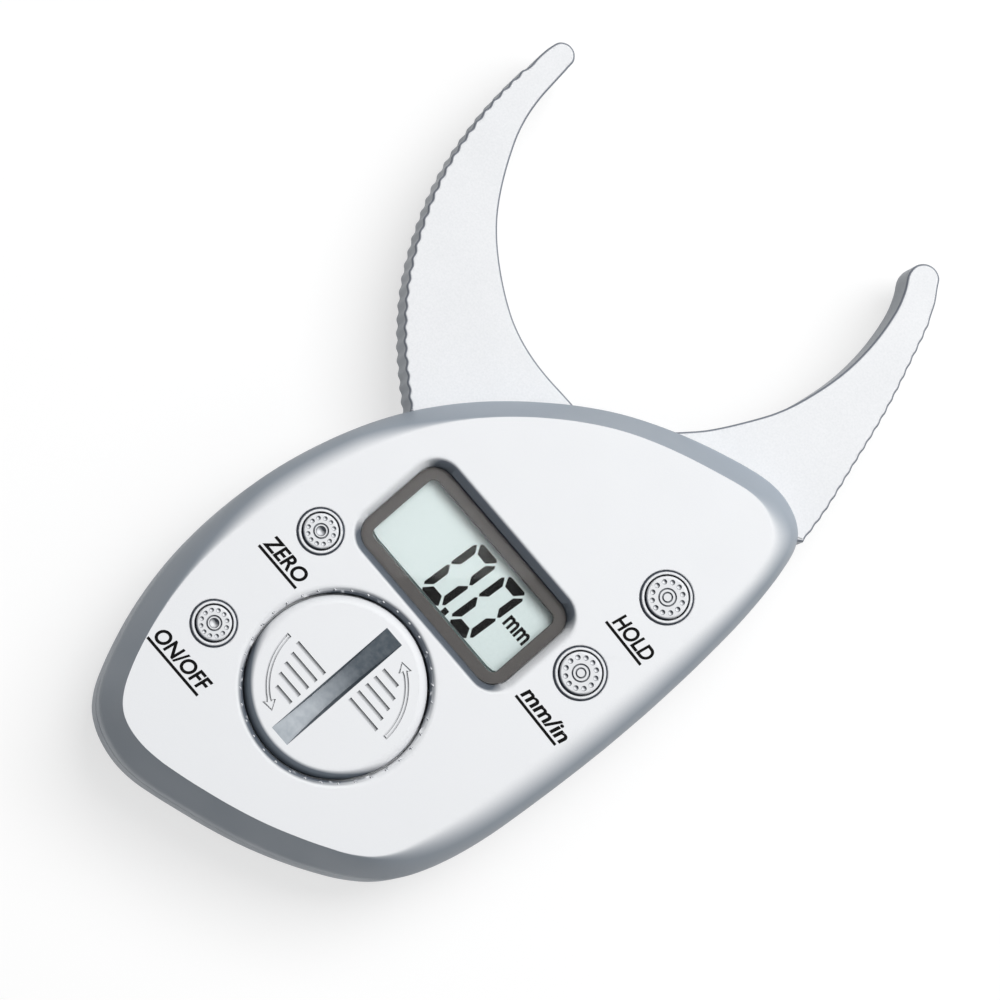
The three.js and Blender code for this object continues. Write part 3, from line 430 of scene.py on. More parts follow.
def quarter_round(steps):
    """How far a quarter round has come from its start, and how far it still has to go."""
    angles = [QUARTER_TURN * step / steps for step in range(steps + 1)]
    return [(1 - math.cos(angle), 1 - math.sin(angle)) for angle in angles]


def rounding(radius, top, out, rise, steps=ROUND_STEPS):
    """A quarter round in a profile, which leaves a radius upright and ends level at the top."""
    return [(radius + out * done, top - rise * left) for done, left in quarter_round(steps)]


def rectangle(left, bottom, right, top):
    return [(left, bottom), (right, bottom), (right, top), (left, top)]


def rounded_box(centre, width, height, corner):
    """An anticlockwise box with rounded corners."""
    points = []
    for quarter, (right, up) in enumerate([(1, 1), (-1, 1), (-1, -1), (1, -1)]):
        middle = (
            centre[0] + right * (width / 2 - corner),
            centre[1] + up * (height / 2 - corner),
        )
        start = quarter * QUARTER_TURN
        points += arc(middle, corner, start, start + QUARTER_TURN, CORNER_STEPS)
    return points


def moved(points, turn, place):
    """Points turned about the origin and then moved to a place."""
    c, s = math.cos(turn), math.sin(turn)
    return [(place[0] + x * c - y * s, place[1] + x * s + y * c) for x, y in points]


def inset(points, distance):
    """A closed anticlockwise line moved inwards."""
    line = np.array(points)
    along = np.roll(line, -1, axis=0) - np.roll(line, 1, axis=0)
    along /= np.linalg.norm(along, axis=1)[:, None]
    inwards = np.stack([-along[:, 1], along[:, 0]], axis=1)
    return line + inwards * distance


def signed_area(line):
    after = np.roll(line, -1, axis=0)
    return np.sum(line[:, 0] * after[:, 1] - after[:, 0] * line[:, 1]) / 2


def anticlockwise(points):
    line = np.array(points)
    return line if signed_area(line) > 0 else line[::-1]


def smooth_curve(share, first, leaving, last, arriving):
    """The value at a share of the way between two values, given a slope at each of them."""
    rest = 1 - share
    return (
        rest ** 2 * (1 + 2 * share) * first
        + share * rest ** 2 * leaving
        + share ** 2 * (1 + 2 * rest) * last
        - share ** 2 * rest * arriving
    )


# Meshes


def add_object(name, data):
    added = bpy.data.objects.new(name, data)
    bpy.context.scene.collection.objects.link(added)
    return added


def mesh_object(name, points, faces):
    mesh = bpy.data.meshes.new(name)
    mesh.from_pydata([tuple(point) for point in points], [], faces)
    mesh.update()
    return add_object(name, mesh)


def place_points(points, height):
    return [(x, y, height) for x, y in points]


def loft(name, rings, closed=False):
    """A skin over rings of equal length, with flat ends unless it closes on itself."""
    count = len(rings[0])
    points = [point for ring in rings for point in ring]
    faces = []
    for level in range(len(rings) if closed else len(rings) - 1):
        start = level * count
        above = (level + 1) % len(rings) * count
        for index in range(count):
            following = (index + 1) % count
            faces.append((start + index, start + following, above + following, above + index))
    if not closed:
        top = (len(rings) - 1) * count
        faces.append(tuple(range(count - 1, -1, -1)))
        faces.append(tuple(range(top, top + count)))
    return mesh_object(name, points, faces)


def turned(name, profile, centre, closed=False, steps=CIRCLE_STEPS):
    """A profile of radius and height, turned about an upright axis."""
    rings = [place_points(circle(centre, radius, steps), height) for radius, height in profile]
    return loft(name, rings, closed)


def cylinder(name, centre, radius, bottom, top):
    return turned(name, [(radius, bottom), (radius, top)], centre)


def prism(name, points, bottom, top):
    return loft(name, [place_points(points, bottom), place_points(points, top)])


def merged(pieces):
    """The first piece, with the meshes of the others added to its own."""
    work = bmesh.new()
    for piece in pieces:
        work.from_mesh(piece.data)
    work.to_mesh(pieces[0].data)
    work.free()
    for piece in pieces[1:]:
        bpy.data.objects.remove(piece)
    return pieces[0]


def settled_mesh(piece):
    """A mesh of the piece as its modifiers or its curve shape it."""
    bpy.context.view_layer.update()
    result = piece.evaluated_get(bpy.context.evaluated_depsgraph_get())
    return bpy.data.meshes.new_from_object(result)


def combined(piece, operation, others):
    for other in others:
        modifier = piece.modifiers.new(operation, "BOOLEAN")
        modifier.operation = operation
        modifier.solver = "MANIFOLD"
        modifier.object = other
    mesh = settled_mesh(piece)
    piece.modifiers.clear()
    before = piece.data
    piece.data = mesh
    bpy.data.meshes.remove(before)
    for other in others:
        bpy.data.objects.remove(other)
    return piece


def cut(piece, *others):
    return combined(piece, "DIFFERENCE", others)


def joined(piece, *others):
    return combined(piece, "UNION", others)


def kept_within(piece, other):
    return combined(piece, "INTERSECT", [other])


def copy_of(node):
    """A closed mesh with the node's shape, free to be cut."""
    piece = add_object(node + "_works", nodes[node].data.copy())
    work = bmesh.new()
    work.from_mesh(piece.data)
    bmesh.ops.remove_doubles(work, verts=work.verts, dist=SAME_PLACE)
    work.to_mesh(piece.data)
    work.free()
    piece.data.materials.clear()
    return piece


def smooth(piece):
    piece.data.shade_smooth()
    piece.data.set_sharp_from_angle(angle=SHARP_TURN)
    modifier = piece.modifiers.new("even_faces", "WEIGHTED_NORMAL")
    modifier.keep_sharp = True
    return piece


def crease_round_level(piece, height):
    """Sharpens the edges of the level faces at a height, so that these shade evenly."""
    work = bmesh.new()
    work.from_mesh(piece.data)
    level = {
        face for face in work.faces
        if all(abs(vertex.co.z - height) < SAME_PLACE for vertex in face.verts)
    }
    for edge in work.edges:
        if sum(face in level for face in edge.link_faces) == 1:
            edge.smooth = False
    work.to_mesh(piece.data)
    work.free()
    return piece


def dress(piece, name, finish_name, replaced=None, body="housing"):
    """Names a piece and gives it its finish and its body, and hides the node that it stands for."""
    piece.name = name
    piece.data.name = name
    piece.data.materials.clear()
    piece.data.materials.append(finishes[finish_name])
    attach(piece, body)
    if replaced:
        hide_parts(replaced)


def add_finishes(piece, names, number_at):
    """Gives a dressed piece more finishes, and each face the one numbered for its middle."""
    for name in names:
        piece.data.materials.append(finishes[name])
    for polygon in piece.data.polygons:
        polygon.material_index = number_at(polygon.center)


# The housing's outline, read from the front cover


def ring_of(node, height):
    """The outermost corners that the node has at a height, as an anticlockwise line."""
    corners = list({
        (round(point.x, CORNER_DIGITS), round(point.y, CORNER_DIGITS))
        for point in points_of(node)
        if abs(point.z - height) < NEAR_LEVEL
    })
    return np.array([corners[index] for index in convex_hull_2d([Vector(c) for c in corners])])


def even_radii(line, centre, angles):
    """The line's distance from a centre in each direction, as a smooth periodic curve."""
    offset = line - centre
    directions = np.arctan2(offset[:, 1], offset[:, 0])
    order = np.argsort(directions)
    directions = directions[order]
    distances = np.hypot(offset[:, 0], offset[:, 1])[order]
    directions = np.concatenate([directions - FULL_TURN, directions, directions + FULL_TURN])
    distances = np.tile(distances, 3)
    slopes = np.gradient(distances, directions)
    index = np.searchsorted(directions, angles) - 1
    width = directions[index + 1] - directions[index]
    share = (angles - directions[index]) / width
    return smooth_curve(share, distances[index], width * slopes[index],
                        distances[index + 1], width * slopes[index + 1])


shoulder_rise = face_height - slot_top
shoulder_middle = slot_top + shoulder_rise * math.sin(SHOULDER_MIDDLE)
face_corners = ring_of("front_cover", face_height)
shell_middle = (face_corners.min(axis=0) + face_corners.max(axis=0)) / 2
shell_angles = np.linspace(-math.pi, math.pi, SHELL_STEPS, endpoint=False)
face_radii = even_radii(face_corners, shell_middle, shell_angles)
middle_radii = even_radii(ring_of("front_cover", shoulder_middle), shell_middle, shell_angles)
outer_radii = even_radii(ring_of("front_cover", slot_top), shell_middle, shell_angles)

# How round the shoulder is in each direction, from 0 for a flat bevel to 1 for a quarter round
middle_share = (outer_radii - middle_radii) / (outer_radii - face_radii)
bevel_share = math.sin(SHOULDER_MIDDLE)
round_share = 1 - math.cos(SHOULDER_MIDDLE)
shoulder_round = np.clip((bevel_share - middle_share) / (bevel_share - round_share), 0, 1)


def around(radii):
    return np.stack([
        shell_middle[0] + radii * np.cos(shell_angles),
        shell_middle[1] + radii * np.sin(shell_angles),
    ], axis=1)


# Housing


def front_solid(depth, bottom):
    """The front of the housing as one solid, a given depth under its outer skin."""
    rings = []
    if depth == 0:
        rings.append(place_points(inset(around(outer_radii), SEAM_ROUND), bottom))
        bottom += SEAM_ROUND
    rings.append(place_points(inset(around(outer_radii), depth), bottom))
    rise = shoulder_rise - depth
    for step in range(SHOULDER_STEPS + 1):
        angle = QUARTER_TURN * step / SHOULDER_STEPS
        share = math.sin(angle) + (1 - math.cos(angle) - math.sin(angle)) * shoulder_round
        line = around(outer_radii + (face_radii - outer_radii) * share)
        rings.append(place_points(inset(line, depth), slot_top + rise * math.sin(angle)))
    return loft("front_solid", rings)


def back_solid(depth, top):
    bend = BACK_ROUND - depth / 2
    outer = inset(around(outer_radii), depth)
    rings = [
        place_points(inset(outer, bend * left), depth + bend * done)
        for done, left in quarter_round(BACK_ROUND_STEPS)
    ]
    if depth == 0:
        rings.append(place_points(outer, top - SEAM_ROUND))
        outer = inset(outer, SEAM_ROUND)
    rings.append(place_points(outer, top))
    return loft("back_solid", rings)


def slot_edges():
    """The directions from the pivot between which the front cover leaves room for the jaws."""
    directions = sorted(
        math.atan2(point.y, point.x) for point in points_of("front_cover")
        if abs(point.z - front_parting) < NEAR_LEVEL
        and point.xy.length > hub_radius + HUB_SIDE_GAP
    )
    following = directions[1:] + [directions[0] + FULL_TURN]
    return max(zip(directions, following), key=lambda pair: pair[1] - pair[0])


def slot_space():
    start, end = slot_edges()
    near = arc(pivot, hub_radius + HUB_SIDE_GAP, start, end, CIRCLE_STEPS)
    far = arc(pivot, FAR, start, end, CIRCLE_STEPS)
    return prism("slot_space", far + near[::-1], slot_bottom, slot_top)


def display_ring(width, height, corner, level):
    return place_points(rounded_box(display, width, height, corner), level)


def display_recess():
    """The window's pocket and the flared recess over it, with a softly rounded lip."""
    width, height, _ = size_of("display_window")
    slope = math.atan2(RECESS_FLARE, face_height - window_top)
    bend = RECESS_LIP / math.tan((QUARTER_TURN - slope) / 2)
    lip_start = face_height - bend * (1 - math.sin(slope))
    flare = (lip_start - window_top) * math.tan(slope)
    places = [(0, low_corner("display_bezel").z), (0, window_top), (flare, lip_start)]
    for step in range(1, ROUND_STEPS + 1):
        angle = slope + (QUARTER_TURN - slope) * step / ROUND_STEPS
        grow = flare + bend * (math.cos(slope) - math.cos(angle))
        places.append((grow, face_height - bend * (1 - math.sin(angle))))
    places.append((flare + bend * math.cos(slope), above_face))
    return loft("display_recess", [
        display_ring(width + 2 * (POCKET_GAP + grow), height + 2 * (POCKET_GAP + grow),
                     POCKET_CORNER + grow, level)
        for grow, level in places
    ])


def display_stock():
    """Solid stock round the window for the recess to be cut from."""
    width, height, _ = size_of("display_window")
    grow = 2 * (POCKET_GAP + RECESS_EDGE)
    outline = rounded_box(display, width + grow, height + grow, POCKET_CORNER)
    return prism("display_stock", outline, window_top, face_height - SKIN_LAP)


def battery_seat():
    """The round seat of the battery cap, with its sloping surround."""
    profile = [(SEAT_RADIUS, ledge_top + SEAT_STEP), (SEAT_RADIUS, face_height - SURROUND_DEPTH)]
    slope = (SURROUND_RADIUS - SEAT_RADIUS) / SURROUND_DEPTH
    for step in range(ROUND_STEPS + 1):
        share = step / ROUND_STEPS
        height = face_height - RECESS_LIP * (1 - share) ** 2
        radius = SURROUND_RADIUS + RECESS_LIP * (share ** 2 / 2 - slope * (1 - share))
        profile.append((radius, height))
    profile.append((profile[-1][0], above_face))
    return turned("battery_seat", profile, battery, steps=FINE_CIRCLE_STEPS)


def surround_beads():
    """Small round beads round the battery cap, half sunk in the sloping surround."""
    share = (BEAD_RING - SEAT_RADIUS) / (SURROUND_RADIUS - SEAT_RADIUS)
    level = face_height - SURROUND_DEPTH * (1 - share)
    profile = arc((0, level), BEAD_RADIUS, -QUARTER_TURN, QUARTER_TURN, BEAD_STEPS)[1:-1]
    return merged([
        turned("bead", profile, place, steps=BEAD_STEPS)
        for place in circle(battery, BEAD_RING, BEAD_COUNT)
    ])


def ring_radii(place):
    """The radii of a button's hole and of the raised ring round it."""
    reaches = [
        (point.xy - place).length for point in points_of("front_cover")
        if point.z > ring_top - SAME_PLACE
    ]
    near = [reach for reach in reaches if reach < RING_REACH]
    return min(near), max(near)


def button_ring(place):
    """A raised ring that guards a button."""
    radius = ring_radii(place)[1]
    top = rounding(radius, ring_top, -RING_ROUND, RING_ROUND)
    return turned("button_ring", [(radius, face_height - SKIN), *top], place)


def groove_ring(place, radius, width, top):
    """What a fine V-shaped groove in a ring takes away."""
    inner = radius - width / 2
    outer = radius + width / 2
    bottom = top - width
    high = top + CUT_PAST
    profile = [(radius, bottom), (outer, top), (outer, high), (inner, high), (inner, top)]
    return turned("groove_ring", profile, place, closed=True)


def button_moat(place):
    """A fine groove that sets the ring off from the face."""
    return groove_ring(place, ring_radii(place)[1] + MOAT_WIDTH / 2, MOAT_WIDTH, face_height)


def button_hole(place):
    radius = ring_radii(place)[0]
    return turned("button_hole", [
        (radius, bezel_top - CUT_PAST),
        *rounding(radius, ring_top, HOLE_LIP, HOLE_LIP),
        (radius + HOLE_LIP, ring_top + CUT_PAST),
    ], place)


def skin_and_works(node, solid, parting, past):
    """A cover's smooth outer skin, and all of the model's cover that lies inside that skin."""
    skin = cut(solid(0, parting), solid(SKIN, past))
    works = kept_within(copy_of(node), solid(CORE_DEPTH, past))
    return cut(skin, slot_space()), works


def front_cover():
    skin, works = skin_and_works("front_cover", front_solid, front_parting,
                                 front_parting - CUT_PAST)
    places = [centre_of(key + "_button").xy for key in KEYS]
    cover = joined(skin, works, display_stock())
    cover = cut(cover, *[button_moat(place) for place in places])
    cover = joined(cover, *[button_ring(place) for place in places])
    cover = cut(cover, *[button_hole(place) for place in places], display_recess(), battery_seat())
    cover = smooth(joined(cover, surround_beads()))
    dress(cover, "front_shell", "silver_with_wall_shade", "front_cover")
    low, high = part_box("display_window")
    rings = [(place, ring_radii(place)[1] + MOAT_WIDTH + SKIN_LAP) for place in places]

    # Faces in the display's recess and the battery's surround take the coat with painted recess shade,
    # faces round the buttons the coat with painted groove shade
    def number_at(spot):
        off_display = max(low.x - spot.x, spot.x - high.x, low.y - spot.y, spot.y - high.y)
        if off_display < RECESS_EDGE or (spot.xy - battery).length < SURROUND_RADIUS + RECESS_LIP:
            return 1
        return 2 if any((spot.xy - place).length < reach for place, reach in rings) else 0

    add_finishes(cover, ["silver_with_recess_shade", "silver_with_groove_shade"], number_at)


def screw_seat(node):
    """The height at which a screw's head bears on the housing."""
    middle = centre_of(node).xy
    reach = size_of(node).x / 2 - NEAR_LEVEL
    return max(point.z for point in points_of(node) if (point.xy - middle).length > reach)


def screw_well(node):
    """The counterbore over a screw head, with a small round at the back face."""
    profile = [
        (SCREW_HEAD_HOLE, screw_seat(node)),
        *rounding(SCREW_HEAD_HOLE, 0, SCREW_HOLE_LIP, -SCREW_HOLE_LIP),
        (SCREW_HEAD_HOLE + SCREW_HOLE_LIP, -CUT_PAST),
    ]
    return turned("screw_well", profile[::-1], centre_of(node).xy)


def back_cover():
    skin, works = skin_and_works("back_cover", back_solid, back_parting, back_parting + CUT_PAST)
    cover = smooth(cut(joined(skin, works), *[screw_well(screw) for screw in SCREWS]))
    dress(cover, "back_shell", "silver_with_wall_shade", "back_cover")


# Jaws


def edge_line(node, height):
    """The outer edge of the node's flat side at a height, as an anticlockwise line."""
    points = points_of(node)
    edges = {}
    for polygon in nodes[node].data.polygons:
        corners = [points[index] for index in polygon.vertices]
        if all(abs(corner.z - height) <= NEAR_LEVEL for corner in corners):
            keys = [(round(x, LEVEL_DIGITS), round(y, LEVEL_DIGITS)) for x, y, z in corners]
            edges.update(dict.fromkeys(zip(keys, keys[1:] + keys[:1])))
    after = dict(edge for edge in edges if edge[::-1] not in edges)
    lines = []
    while after:
        start = next(iter(after))
        line = [start]
        step = after.pop(start)
        while step != start and step in after:
            line.append(step)
            step = after.pop(step)
        lines.append(np.array(line))
    return anticlockwise(max(lines, key=lambda line: np.ptp(line[:, 0]) * np.ptp(line[:, 1])))


def eased(line):
    """The line with its curves made finer and its sharp corners kept."""
    target = np.roll(line, -1, axis=0)
    before = line - np.roll(line, 1, axis=0)
    after = target - line
    back_lengths = np.linalg.norm(before, axis=1)[:, None]
    lengths = np.linalg.norm(after, axis=1)[:, None]
    before = before / back_lengths
    after = after / lengths
    turn = np.arccos(np.clip(np.sum(before * after, axis=1), -1, 1))[:, None]
    shared = (before * lengths + after * back_lengths) / (lengths + back_lengths)
    leaving = np.where(turn > JAW_CORNER, after, shared)
    arriving = np.roll(np.where(turn > JAW_CORNER, before, shared), -1, axis=0)
    shares = np.arange(JAW_EDGE_STEPS)[:, None, None] / JAW_EDGE_STEPS
    rows = smooth_curve(shares, line, lengths * leaving, target, lengths * arriving)
    return rows.transpose(1, 0, 2).reshape(-1, 2)


def jaw_plate(node):
    """A jaw's plate with rounded edges above and below."""
    line = eased(edge_line(node, jaw_bottom))
    bends = quarter_round(JAW_ROUND_STEPS)
    return loft("jaw", [
        place_points(inset(line, JAW_ROUND * left), jaw_bottom + JAW_ROUND * done)
        for done, left in bends
    ] + [
        place_points(inset(line, JAW_ROUND * done), jaw_top - JAW_ROUND * left)
        for done, left in bends
    ])


def moving_jaw():
    """The swinging jaw, with its hub's step and the hub's bore and spring pocket."""
    hub_top = high_corner("pivot_bush").z
    step_space = cylinder("step", pivot, hub_radius + HUB_STEP_GAP, hub_top, jaw_top + CUT_PAST)
    core_radius = hub_radius - HUB_CORE_GAP
    core = cylinder("core", pivot, core_radius, -CUT_PAST, face_height)
    jaw = cut(jaw_plate("moving_jaw"), step_space, core)
    core = cylinder("core", pivot, core_radius + SKIN_LAP, -CUT_PAST, face_height)
    jaw = smooth(joined(jaw, kept_within(copy_of("moving_jaw"), core)))
    dress(jaw, "swinging_jaw_arm", "jaw_plastic", "moving_jaw", "swinging_jaw")


def fixed_jaw():
    holes = [
        cylinder("hole", centre_of(node).xy, size_of(node).y / 2 + POCKET_GAP, -CUT_PAST, face_height)
        for node in JAW_SCREWS
    ]
    jaw = smooth(cut(jaw_plate("fixed_jaw"), *holes))
    dress(jaw, "fixed_jaw_arm", "jaw_plastic", "fixed_jaw")


# Display


def display_opening():
    """The lowest and highest corners of the bezel's opening."""
    low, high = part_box("display_bezel")
    inner = np.array([
        point.xy for point in points_of("display_bezel")
        if low.x + SKIN < point.x < high.x - SKIN and low.y + SKIN < point.y < high.y - SKIN
    ])
    return Vector(inner.min(axis=0)), Vector(inner.max(axis=0))


def display_bezel():
    """The printed border, with the edge of its opening slightly eased."""
    bottom = low_corner("display_bezel").z
    width, height, _ = size_of("display_bezel")
    opening_low, opening_high = display_opening()
    light_width, light_height = opening_high - opening_low
    rings = [
        display_ring(width, height, POCKET_CORNER, bottom),
        display_ring(width, height, POCKET_CORNER, bezel_top),
        display_ring(light_width + BEZEL_ROUND, light_height + BEZEL_ROUND,
                     LIGHT_CORNER + BEZEL_ROUND / 2, bezel_top),
        display_ring(light_width, light_height, LIGHT_CORNER, bezel_top - BEZEL_ROUND),
        display_ring(light_width, light_height, LIGHT_CORNER, bottom),
    ]
    bezel = smooth(loft("bezel", rings, closed=True))
    dress(bezel, "display_surround", "display_border", "display_bezel")


def display_window():
    width, height, thickness = size_of("display_window")
    rings = [
        display_ring(width, height, POCKET_CORNER, window_top - thickness),
        display_ring(width, height, POCKET_CORNER, window_top - WINDOW_BEVEL),
        display_ring(width - 2 * WINDOW_BEVEL, height - 2 * WINDOW_BEVEL,
                     POCKET_CORNER - WINDOW_BEVEL, window_top),
    ]
    window = smooth(loft("window", rings))
    dress(window, "clear_window", "clear_window", "display_window")


def digit_bars():
    """The six lit bars of a nought, their ends cut to mitre with each other."""
    w, h, gap, corner, bevel = DIGIT_WIDTH, DIGIT_HEIGHT, BAR_GAP, BAR_CORNER, BAR_BEVEL
    side = [
        (0, h - corner - gap - bevel),
        (bevel, h - corner - gap),
        (SIDE_BAR, h - END_BAR - gap),
        (SIDE_BAR, h / 2 + WAIST),
        (bevel, (h + gap) / 2),
        (0, (h + gap) / 2 + bevel),
    ]
    end = [
        (corner, h - bevel),
        (corner + bevel, h),
        (w - corner - bevel, h),
        (w - corner, h - bevel),
        (w - SIDE_BAR - gap, h - END_BAR),
        (SIDE_BAR + gap, h - END_BAR),
    ]
    bars = []
    for below in [False, True]:
        bars.append([(x, h - y if below else y) for x, y in end])
        for right in [False, True]:
            bars.append([(w - x if right else x, h - y if below else y) for x, y in side])
    return bars


def printed(outlines, bottom):
    """Thin printed shapes with their underside at a height."""
    return merged([
        prism("print", anticlockwise(outline), bottom, bottom + PRINT_THICKNESS)
        for outline in outlines
    ])


def lettering(words, size, weight, place, width, shear=0):
    """Words as a thin mesh of a given width, their lower left corner at a place."""
    curve = bpy.data.curves.new("words", "FONT")
    curve.body = words
    curve.size = size
    curve.shear = shear
    curve.offset = weight
    curve.extrude = PRINT_THICKNESS / 2
    text = add_object("words", curve)
    mesh = settled_mesh(text)
    bpy.data.objects.remove(text)
    corners = np.array([tuple(vertex.co) for vertex in mesh.vertices])
    low = corners.min(axis=0)
    stretch = width / np.ptp(corners[:, 0])
    for vertex in mesh.vertices:
        vertex.co.x = place[0] + (vertex.co.x - low[0]) * stretch
        vertex.co.y = place[1] + vertex.co.y - low[1]
        vertex.co.z = place[2] + vertex.co.z
    return add_object("words", mesh)


def display_figures():
    low = display_opening()[0]
    level = high_corner("display_glass").z
    slant = math.tan(DIGIT_SLANT)
    outlines = []
    for digit in range(DIGIT_COUNT):
        left = low.x + FIRST_DIGIT[0] + digit * DIGIT_PITCH
        bottom = low.y + FIRST_DIGIT[1]
        outlines += [[(left + x + slant * y, bottom + y) for x, y in bar] for bar in digit_bars()]
    left = low.x + POINT_PLACE[0]
    bottom = low.y + POINT_PLACE[1]
    outlines.append(rectangle(left, bottom, left + POINT_SIZE, bottom + POINT_SIZE))
    dress(printed(outlines, level), "display_figures", "black_ink")
    place = (low.x + UNIT_PLACE[0], low.y + UNIT_PLACE[1], level)
    unit = lettering("mm", UNIT_SIZE, UNIT_WEIGHT, place, UNIT_WIDTH)
    dress(unit, "display_unit", "black_ink")


# Buttons and labels


def label(key):
    words, words_left, words_length, line_left, line_length, drop, turn = LABELS[key]
    middle = centre_of(key + "_button").xy - Vector((0, drop))
    piece = lettering(words, LABEL_SIZE, LABEL_WEIGHT, (words_left, LABEL_RISE, face_height),
                      words_length, LABEL_SHEAR)
    for vertex in piece.data.vertices:
        vertex.co.xy = moved([vertex.co.xy], turn, middle)[0]
    line = moved(rectangle(line_left, 0, line_left + line_length, LABEL_LINE), turn, middle)
    piece = merged([piece, printed([line], face_height - PRINT_THICKNESS / 2)])
    dress(piece, key + "_label", "black_ink")


def dimple(place, radius, top):
    """A round hollow, half a ball deep."""
    hollow = arc((0, top), radius, -QUARTER_TURN, 0, ROUND_STEPS + 1)[1:]
    return turned("dimple", [*hollow, (radius, top + CUT_PAST)], place, steps=DOT_STEPS)


def dotted_button(key):
    """A round button with a ring of small dimples, and a dimple or a ring at its centre."""
    node = key + "_button"
    place = centre_of(node).xy
    low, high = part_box(node)
    flange = size_of(node).x / 2
    flange_top = bezel_top - SKIN_LAP
    flange_bottom = flange_top - FLANGE_THICKNESS
    radius = max((point.xy - place).length for point in points_of(node) if point.z > face_height)
    profile = [
        (STEM_RADIUS, low.z),
        (STEM_RADIUS, flange_bottom),
        (flange, flange_bottom),
        (flange, flange_top),
        (radius, flange_top),
        *rounding(radius, high.z, -KEY_ROUND, KEY_ROUND),
    ]
    spots = circle(place, radius * DOT_RING_SHARE, DOT_COUNT, QUARTER_TURN)
    cutters = [dimple(spot, radius * DOT_SHARE, high.z) for spot in spots]
    cutters.append(groove_ring(place, radius * GROOVE_RING_SHARE, KEY_GROOVE_WIDTH, high.z))
    if key in DIMPLED_KEYS:
        cutters.append(dimple(place, radius * DIMPLE_SHARE, high.z))
    else:
        cutters.append(groove_ring(place, radius * INNER_RING_SHARE, KEY_GROOVE_WIDTH, high.z))
    button = smooth(cut(turned("button", profile, place), *cutters))
    dress(button, key + "_cap", "silver_with_key_shade", node, key + "_key")


# Battery cap


def coin_slot():
    """A slot along Y with a floor bowed like a coin's edge."""
    radius = (COIN_DEPTH ** 2 + (COIN_LENGTH / 2) ** 2) / (2 * COIN_DEPTH)
    half = math.asin(COIN_LENGTH / 2 / radius)
    half_top = COIN_WIDTH / 2 + COIN_WALL_SLOPE * CUT_PAST
    rings = []
    for angle in np.linspace(-half, half, COIN_STEPS + 1):
        y = battery.y + radius * math.sin(angle)
        height = face_height - COIN_DEPTH + radius * (1 - math.cos(angle))
        half_floor = COIN_WIDTH / 2 - COIN_WALL_SLOPE * (face_height - height)
        rings.append([
            (battery.x + half_top, y, above_face),
            (battery.x + half_floor, y, height),
            (battery.x - half_floor, y, height),
            (battery.x - half_top, y, above_face),
        ])
    return loft("coin_slot", rings)


def groove_bars():
    bars = []
    for turn in [0, math.pi]:
        for index, length in enumerate(GROOVE_LENGTHS):
            bottom = GROOVE_FIRST - index * GROOVE_PITCH - GROOVE_WIDTH / 2
            left = -GROOVE_START - length
            outline = rectangle(left, bottom, -GROOVE_START, bottom + GROOVE_WIDTH)
            outline = moved(outline, turn, battery)
            bars.append(prism("bar", outline, face_height - GROOVE_DEPTH, above_face))
    return bars


def arrow_grooves():
    """The outline of a curved arrow, cut as a fine groove, twice."""
    origin = (0, 0)
    neck = ARROW_END - ARROW_HEAD_TURN
    outline = [
        *arc(origin, ARROW_RADIUS + ARROW_WIDTH / 2, ARROW_START, neck, ARROW_STEPS),
        polar(origin, ARROW_RADIUS + ARROW_HEAD_WIDTH / 2, neck),
        polar(origin, ARROW_RADIUS, ARROW_END),
        polar(origin, ARROW_RADIUS - ARROW_HEAD_WIDTH / 2, neck),
        *arc(origin, ARROW_RADIUS - ARROW_WIDTH / 2, neck, ARROW_START, ARROW_STEPS),
    ]
    bottom = face_height - ARROW_DEPTH
    arrows = []
    for turn in [0, math.pi]:
        line = anticlockwise(moved(outline, turn, battery))
        inside = inset(line, ARROW_LINE)
        rings = [
            place_points(line, bottom),
            place_points(line, above_face),
            place_points(inside, above_face),
            place_points(inside, bottom),
        ]
        arrows.append(loft("arrow", rings, closed=True))
    return arrows


def battery_cap():
    """The round cap, with a slot for a coin, grip grooves and two arrows."""
    low = low_corner("battery_cap")
    level = cap_underside + (face_height - cap_underside) * CAP_BODY_SHARE
    keep = cylinder("keep", battery, FAR, low.z - CUT_PAST, level)
    rim = rounding(cap_radius, face_height, -CAP_RIM, CAP_RIM, CAP_RIM_STEPS)
    disc = turned("disc", [(cap_radius, cap_underside), *rim], battery, steps=FINE_CIRCLE_STEPS)
    cap = joined(disc, kept_within(copy_of("battery_cap"), keep))
    cap = cut(cap, coin_slot(), *groove_bars(), *arrow_grooves())
    cap = crease_round_level(smooth(cap), face_height)
    dress(cap, "battery_lid", "silver_with_rim_shade", "battery_cap", "cap")

    # Faces in the cap's grooves and arrows take the coat with painted groove shade, faces in the coin
    # slot the slot's coat with painted shade
    def number_at(spot):
        offset = spot.xy - battery
        if not cap_underside < spot.z < face_height - SKIN_LAP:
            return 0
        if abs(offset.x) < COIN_WIDTH / 2 and abs(offset.y) < COIN_LENGTH / 2:
            return 2
        return 1 if offset.length < cap_radius - CAP_RIM else 0

    add_finishes(cap, ["silver_with_groove_shade", "slot_silver_with_shade"], number_at)


# Screws in the back


